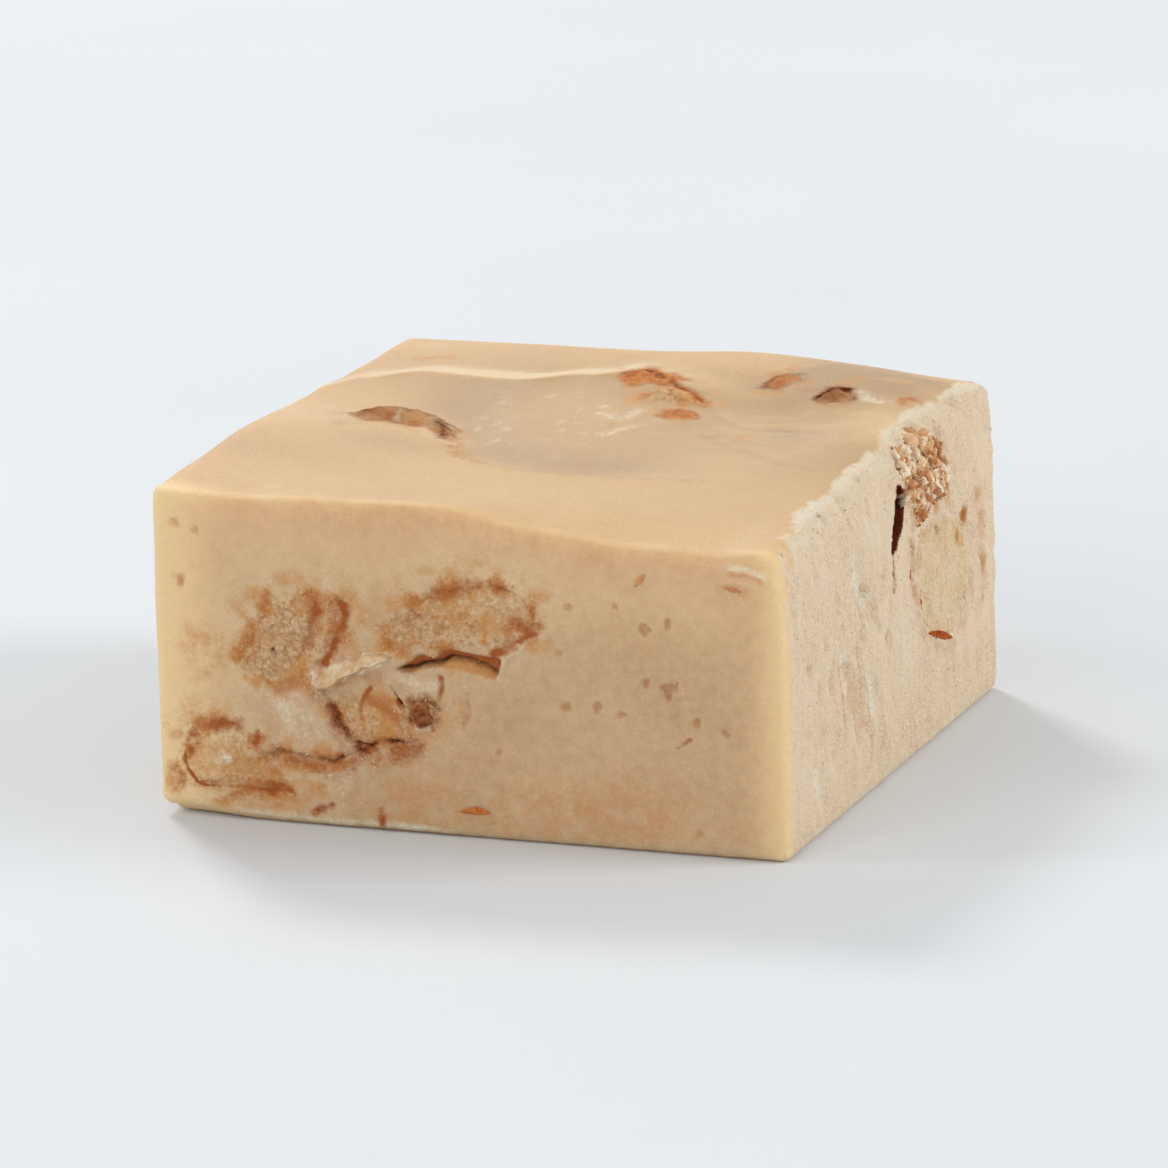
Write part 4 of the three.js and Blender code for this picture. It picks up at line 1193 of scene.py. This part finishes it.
# The heap of broken nut: its grains, how far they spread and sink, and their stains
HEAP_CRUMBS, HEAP_SEED = 900, 7
HEAP_RADII, HEAP_RADIUS_SPREAD = (0.12, 0.16, 0.22, 0.32, 0.55), (0.8, 1.2)
HEAP_SPREAD, HEAP_BORDER = 0.6, 0.1
HEAP_SINK, HEAP_LUMP = (-0.8, -0.3), (0.45, 1.1)
NO_STAIN = (0.0, 0.0, 0.0, 0.0)
HEAP_STAINS = [
    NO_STAIN,
    (0.0, 0.0, 0.45, 0.2),
    (0.6, 0.0, 0.3, 0.0),
    (0.4, 0.3, 0.0, 0.1),
    (0.0, 0.0, 0.2, 0.5),
    (0.0, 0.0, 0.0, 0.6),
]


def make_heap(name):
    """The heap of broken nut on the right side: its own core with grains over it."""
    nut, outline = NUTS[name], OUTLINES[name]
    rng = np.random.default_rng(HEAP_SEED)
    parts = [set_piece(nut, outline, NUT_STEP)]
    low, high = outline.min(0) - HEAP_SPREAD, outline.max(0) + HEAP_SPREAD
    while len(parts) <= HEAP_CRUMBS:
        u, v = rng.uniform(low, high)[:, None]
        away = signed_distance(u, v, outline)[0] + rng.normal(0, HEAP_SPREAD)
        if away > HEAP_BORDER:
            continue
        radius = rng.choice(HEAP_RADII) * rng.uniform(*HEAP_RADIUS_SPREAD)
        out = rng.uniform(*HEAP_SINK) * radius - TORN_STEP / 2
        centre = on_face(nut.face, u, v, np.array([out]))[0]
        stain = HEAP_STAINS[rng.integers(len(HEAP_STAINS))]
        parts.append(crumb(rng, LARGE_CRUMB, centre, radius, stain, 1.0, rng.uniform(*HEAP_LUMP)))
    return join_pieces(name + "_heap", parts)


SIDE_CRUMBS, FRONT_CRUMBS, CRUMB_SEED = 900, 350, 11
CRUMB_RADIUS, CRUMB_FLOOR = (0.05, 0.14), 0.5


def make_fudge_crumbs(places, look):
    """Loose grains of fudge on the torn side, most along its ragged edge, and beside the front's nuts."""
    rng = np.random.default_rng(CRUMB_SEED)
    skin, dark, _, pale = look.stain.T
    clear = (dark < 0.1) & (places[:, 2] > CRUMB_FLOOR)
    on_side = np.where(clear & (look.finish[:, TORN] > 0.6), 0.15 + pale, 0)
    on_front = places[:, 1] < 1 - DEPTH / 2
    by_nuts = on_front & (skin > 0.15) & (skin < 0.5) & (look.tone[:, NEAR_NUT] > 0.6)
    parts = []
    for chances, count, amber in ((on_side, SIDE_CRUMBS, 0.15), (by_nuts, FRONT_CRUMBS, 0.7)):
        for spot in rng.choice(len(places), count, replace=False, p=chances / chances.sum()):
            stain = (0, 0, rng.uniform(0, amber), rng.uniform(0.4, 1.0) * (1 - amber))
            radius = rng.uniform(*CRUMB_RADIUS)
            parts.append(crumb(rng, SMALL_CRUMB, places[spot], radius, stain, 0.0, 0.5))
    return join_pieces("fudge_crumbs", parts)


def make_nut(name):
    return join_pieces(name + "_piece", [set_piece(NUTS[name], OUTLINES[name], NUT_STEP)])


# Materials


def srgb(red, green, blue):
    """A colour given as screen values from 0 to 255, as the linear colour that shaders take."""
    values = np.array([red, green, blue]) / 255
    linear = np.where(values <= 0.04045, values / 12.92, ((values + 0.055) / 1.055) ** 2.4)
    return (*linear.tolist(), 1.0)


class Nodes:
    """A material's node tree, with short ways to add and join nodes."""

    def __init__(self, name):
        self.material = bpy.data.materials.new(name)
        self.material.use_nodes = True
        self.tree = self.material.node_tree
        self.shader = self.tree.nodes["Principled BSDF"]

    def add(self, kind, inputs=None, **settings):
        node = self.tree.nodes.new(kind)
        for key, value in settings.items():
            setattr(node, key, value)
        for key, value in (inputs or {}).items():
            self.feed(node.inputs[key], value)
        return node

    def feed(self, socket, value):
        if isinstance(value, bpy.types.NodeSocket):
            self.tree.links.new(value, socket)
        else:
            socket.default_value = value

    def math(self, operation, a, b=0.0):
        return self.add("ShaderNodeMath", {0: a, 1: b}, operation=operation).outputs[0]

    def mix(self, share, a, b):
        return self.add("ShaderNodeMix", {0: share, 6: a, 7: b}, data_type="RGBA").outputs[2]

    def range(self, value, low, high, to_low=0.0, to_high=1.0):
        inputs = {"Value": value, "From Min": low, "From Max": high, "To Min": to_low, "To Max": to_high}
        return self.add("ShaderNodeMapRange", inputs).outputs["Result"]

    def noise(self, scale, detail=3.0, roughness=0.55):
        place = self.add("ShaderNodeTexCoord").outputs["Object"]
        inputs = {"Vector": place, "Scale": scale, "Detail": detail, "Roughness": roughness}
        return self.add("ShaderNodeTexNoise", inputs).outputs["Fac"]

    def attribute(self, name):
        node = self.add("ShaderNodeAttribute", attribute_name=name)
        parts = self.add("ShaderNodeSeparateColor", {0: node.outputs["Color"]})
        return [*parts.outputs[:3], node.outputs["Alpha"]]

    def set(self, **inputs):
        for key, value in inputs.items():
            self.feed(self.shader.inputs[key.replace("_", " ")], value)


# These colours also serve for painted shade (skin, dark, amber) and painted highlights (pale)
STAIN_COLOURS = {
    "amber": srgb(212, 150, 88),
    "pale": srgb(251, 237, 213),
    "skin": srgb(172, 96, 52),
    "dark": srgb(92, 40, 22),
}
NUT_COLOURS = {
    "nut_flesh": (srgb(144, 90, 52), srgb(189, 142, 98), srgb(240, 210, 172)),
    "nut_pale": (srgb(206, 162, 112), srgb(236, 206, 164), srgb(250, 230, 198)),
    "nut_skin": (srgb(120, 50, 20), srgb(186, 92, 42), srgb(220, 144, 84)),
    "nut_skin_dark": (srgb(70, 30, 14), srgb(124, 64, 36), srgb(184, 122, 80)),
}
FUDGE_CUT = srgb(206, 168, 127), srgb(224, 190, 150)
FUDGE_POURED = srgb(209, 170, 121), srgb(219, 182, 133)
FUDGE_PAINTED_SHADE, FUDGE_PAINTED_LIGHT = srgb(168, 136, 104), srgb(244, 220, 182)
FUDGE_TORN = srgb(224, 186, 146), srgb(254, 230, 199)
FUDGE_PAINTED_GLOW = srgb(255, 221, 167)
FUDGE_SPECK_AND_GLINT, FUDGE_PIT_SHADE = srgb(244, 224, 192), srgb(204, 152, 100)
FLOOR_COLOURS = srgb(218, 222, 226), srgb(224, 228, 232)
BUMP_DISTANCE = 0.00026
SCATTER_RADIUS, SCATTER_SCALE = (1.0, 0.55, 0.28), 0.005


def stained(nodes, base, shares, edge_noise):
    """The base colour under the four stains, whose edges a fine noise breaks up."""
    ragged = nodes.range(edge_noise, 0.3, 0.7, -0.24, 0.24)
    colour = base
    for stain, stain_colour in STAIN_COLOURS.items():
        share = shares[stain]
        broken = nodes.math("ADD", share, nodes.math("MULTIPLY", ragged, nodes.range(share, 0.02, 0.3)))
        colour = nodes.mix(nodes.range(broken, 0.12, 0.85), colour, stain_colour)
    return colour


def fudge_colour(nodes, torn, poured, slope, beside):
    cloud = nodes.range(nodes.math("ADD", nodes.noise(70, 3), nodes.noise(900, 3)), 0.7, 1.3)
    # Pale specks, partly sugar grain and partly painted glints, more of them beside the nuts and fewer on the
    # poured top
    speck_and_glint = nodes.range(nodes.noise(4200, 2, 0.6), 0.55, 0.75, 0, 0.28)
    colour = nodes.mix(poured, nodes.mix(cloud, *FUDGE_CUT), nodes.mix(cloud, *FUDGE_POURED))
    # Painted shade where the top falls to the front and in the hollow, the same colour darkening the mound
    # and the saddle; painted light on the band behind the fold's crest
    colour = nodes.mix(nodes.range(slope, 0.5, 1.0, 0, 0.8), colour, FUDGE_PAINTED_SHADE)
    colour = nodes.mix(nodes.range(slope, 0.5, 0.0, 0, 0.6), colour, FUDGE_PAINTED_LIGHT)
    smooth = nodes.range(nodes.noise(160, 2), 0.35, 0.65, 0.2, 0.75)
    sand = nodes.mix(nodes.range(nodes.noise(3300, 3, 0.7), 0.36, 0.6, smooth, 1.0), *FUDGE_TORN)
    colour = nodes.mix(nodes.math("MULTIPLY", torn, 0.9), colour, sand)
    grain_and_glint_share = nodes.math("MULTIPLY", nodes.range(poured, 0, 1, 1, 0.2), nodes.range(beside, 0, 1, 1, 2.4))
    return nodes.mix(nodes.math("MULTIPLY", speck_and_glint, grain_and_glint_share), colour, FUDGE_SPECK_AND_GLINT)


def flesh_colour(nodes, lump, colours):
    """Nut flesh: painted shade in the creases and painted light on the lumps, with pale grains that are
    partly painted glints.
    """
    low, middle, high = colours
    fine = nodes.range(nodes.noise(2300, 3, 0.65), 0.3, 0.7, -0.18, 0.18)
    height = nodes.math("ADD", lump, fine)
    colour = nodes.mix(nodes.range(height, -0.05, 0.5), low, middle)
    colour = nodes.mix(nodes.range(height, 0.6, 1.3), colour, high)
    # Pale grains, partly the flesh's own and partly painted glints
    grain = nodes.range(nodes.noise(2900, 2, 0.6), 0.6, 0.68, 0, 0.55)
    return nodes.mix(grain, colour, high)


def food_material(name, colours):
    """The material of the fudge and of the nuts: each runs into the other where they meet."""
    nodes = Nodes(name)
    torn, poured, share, pit = nodes.attribute("finish")
    lump, glow, slope, beside = nodes.attribute("tone")
    stains = dict(zip(STAINS, nodes.attribute("stain")))
    fine = nodes.noise(2400, 4, 0.75)
    fudge = fudge_colour(nodes, torn, poured, slope, beside)
    # Painted glow at the thin edges, over the fudge and the nut flesh
    base = nodes.mix(glow, nodes.mix(share, fudge, flesh_colour(nodes, lump, colours)), FUDGE_PAINTED_GLOW)
    # Painted shade in the pits, darker and warmer
    base = nodes.mix(nodes.math("MULTIPLY", pit, 0.55), base, FUDGE_PIT_SHADE)
    sand = nodes.math("MULTIPLY", nodes.noise(3800, 3, 0.75), nodes.range(torn, 0, 1, 0.3, 1.4))
    bump_height = nodes.math("MULTIPLY", fine, nodes.range(poured, 0, 1, 1.0, 0.12))
    bump_height = nodes.math("ADD", bump_height, sand)
    bump = nodes.add("ShaderNodeBump", {"Strength": 1.0, "Distance": BUMP_DISTANCE, "Height": bump_height})
    thick = nodes.math("MULTIPLY", nodes.range(torn, 0, 1, 0.8, 0.2), nodes.range(beside, 0, 1, 1, 0))
    thick = nodes.math("MULTIPLY", thick, nodes.range(glow, 0, 1, 1, 0.2))
    dull = nodes.math("MAXIMUM", share, nodes.math("MAXIMUM", stains["skin"], stains["dark"]))
    shine = nodes.math("MULTIPLY", nodes.range(poured, 0, 1, 0.35, 0.5), nodes.range(dull, 0, 0.6, 1, 0))
    nodes.set(
        Base_Color=stained(nodes, base, stains, fine),
        Roughness=nodes.range(poured, 0, 1, 0.45, 0.34),
        Normal=bump.outputs[0],
        Subsurface_Weight=thick,
        Subsurface_Radius=SCATTER_RADIUS,
        Subsurface_Scale=SCATTER_SCALE,
        Specular_IOR_Level=shine,
        IOR=1.45,
    )
    return nodes.material


def floor_material():
    nodes = Nodes("floor")
    cloud = nodes.range(nodes.noise(6, 3), 0.3, 0.7)
    nodes.set(Base_Color=nodes.mix(cloud, *FLOOR_COLOURS), Roughness=0.6)
    return nodes.material


# Stage

WORLD_STRENGTH, WORLD_COLOUR = 0.54, (0.97, 0.99, 1.0, 1)
# Lights: name, place, size, power and colour
LIGHTS = [
    ("key", (-0.72, 0.78, 0.95), 0.35, 6.4, (1.0, 0.99, 0.97)),
    ("strip", (-0.46, 1.43, 0.18), 0.5, 0.25, (1.0, 1.0, 1.0)),
    ("rake", (-1.15, -0.5, 0.85), 0.3, 2.6, (1.0, 1.0, 1.0)),
    ("side", (1.15, 0.35, 0.55), 0.6, 8.8, (1.0, 0.99, 0.97)),
    ("front", (-0.4, -1.15, 0.6), 0.9, 4.5, (1.0, 1.0, 1.0)),
]
LIGHT_TARGET = (0, 0, 0.015)
FLOOR_HALF = 6.0


def place_camera():
    azimuth, elevation = math.radians(CAMERA_AZIMUTH), math.radians(CAMERA_ELEVATION)
    back = Vector((
        math.sin(azimuth) * math.cos(elevation),
        -math.cos(azimuth) * math.cos(elevation),
        math.sin(elevation),
    ))
    data = bpy.data.cameras.new("camera")
    data.lens = CAMERA_LENS
    data.sensor_width = CAMERA_SENSOR
    camera = bpy.data.objects.new("camera", data)
    camera.location = (Vector(CAMERA_TARGET) + back * CAMERA_DISTANCE) * MM
    camera.rotation_mode = "QUATERNION"
    camera.rotation_quaternion = (-back).to_track_quat("-Z", "Y")
    bpy.context.scene.collection.objects.link(camera)
    bpy.context.scene.camera = camera


def area_light(name, place, size, power, colour):
    data = bpy.data.lights.new(name, "AREA")
    data.shape = "DISK"
    data.size = size
    data.energy = power
    data.color = colour
    light = bpy.data.objects.new(name, data)
    light.location = place
    light.rotation_mode = "QUATERNION"
    light.rotation_quaternion = (Vector(LIGHT_TARGET) - Vector(place)).to_track_quat("-Z", "Y")
    bpy.context.scene.collection.objects.link(light)


def light_stage():
    scene = bpy.context.scene
    scene.view_settings.view_transform = "Standard"
    world = bpy.data.worlds.new("studio")
    world.use_nodes = True
    background = world.node_tree.nodes["Background"]
    background.inputs["Color"].default_value = WORLD_COLOUR
    background.inputs["Strength"].default_value = WORLD_STRENGTH
    scene.world = world
    for light in LIGHTS:
        area_light(*light)


def make_floor():
    corners = [(i * FLOOR_HALF, j * FLOOR_HALF, 0) for i, j in ((-1, -1), (1, -1), (1, 1), (-1, 1))]
    mesh = bpy.data.meshes.new("floor")
    mesh.from_pydata(corners, [], [(0, 1, 2, 3)])
    floor = bpy.data.objects.new("floor", mesh)
    floor.data.materials.append(floor_material())
    bpy.context.scene.collection.objects.link(floor)


def dress(piece, material, slot, *nodes):
    piece.data.materials.append(material)
    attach(piece, "root")
    if nodes:
        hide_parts(*nodes)


def make_all():
    hidden_pits()
    materials = {slot: food_material(slot, colours) for slot, colours in NUT_COLOURS.items()}
    fudge = food_material("fudge", NUT_COLOURS["nut_flesh"])
    block, places, look = make_fudge()
    dress(block, fudge, "fudge", "fudge")
    dress(make_fudge_crumbs(places, look), fudge, "fudge")
    for name, nut in NUTS.items():
        piece = make_heap(name) if name == "nut_side_crumbs" else make_nut(name)
        dress(piece, materials[nut.slot], nut.slot, name)
    shreds = join_pieces("nut_skin_shreds", [shred(*fleck) for fleck in FLECKS])
    dress(shreds, materials["nut_skin"], "nut_skin")


place_camera()
light_stage()
make_floor()
make_all()
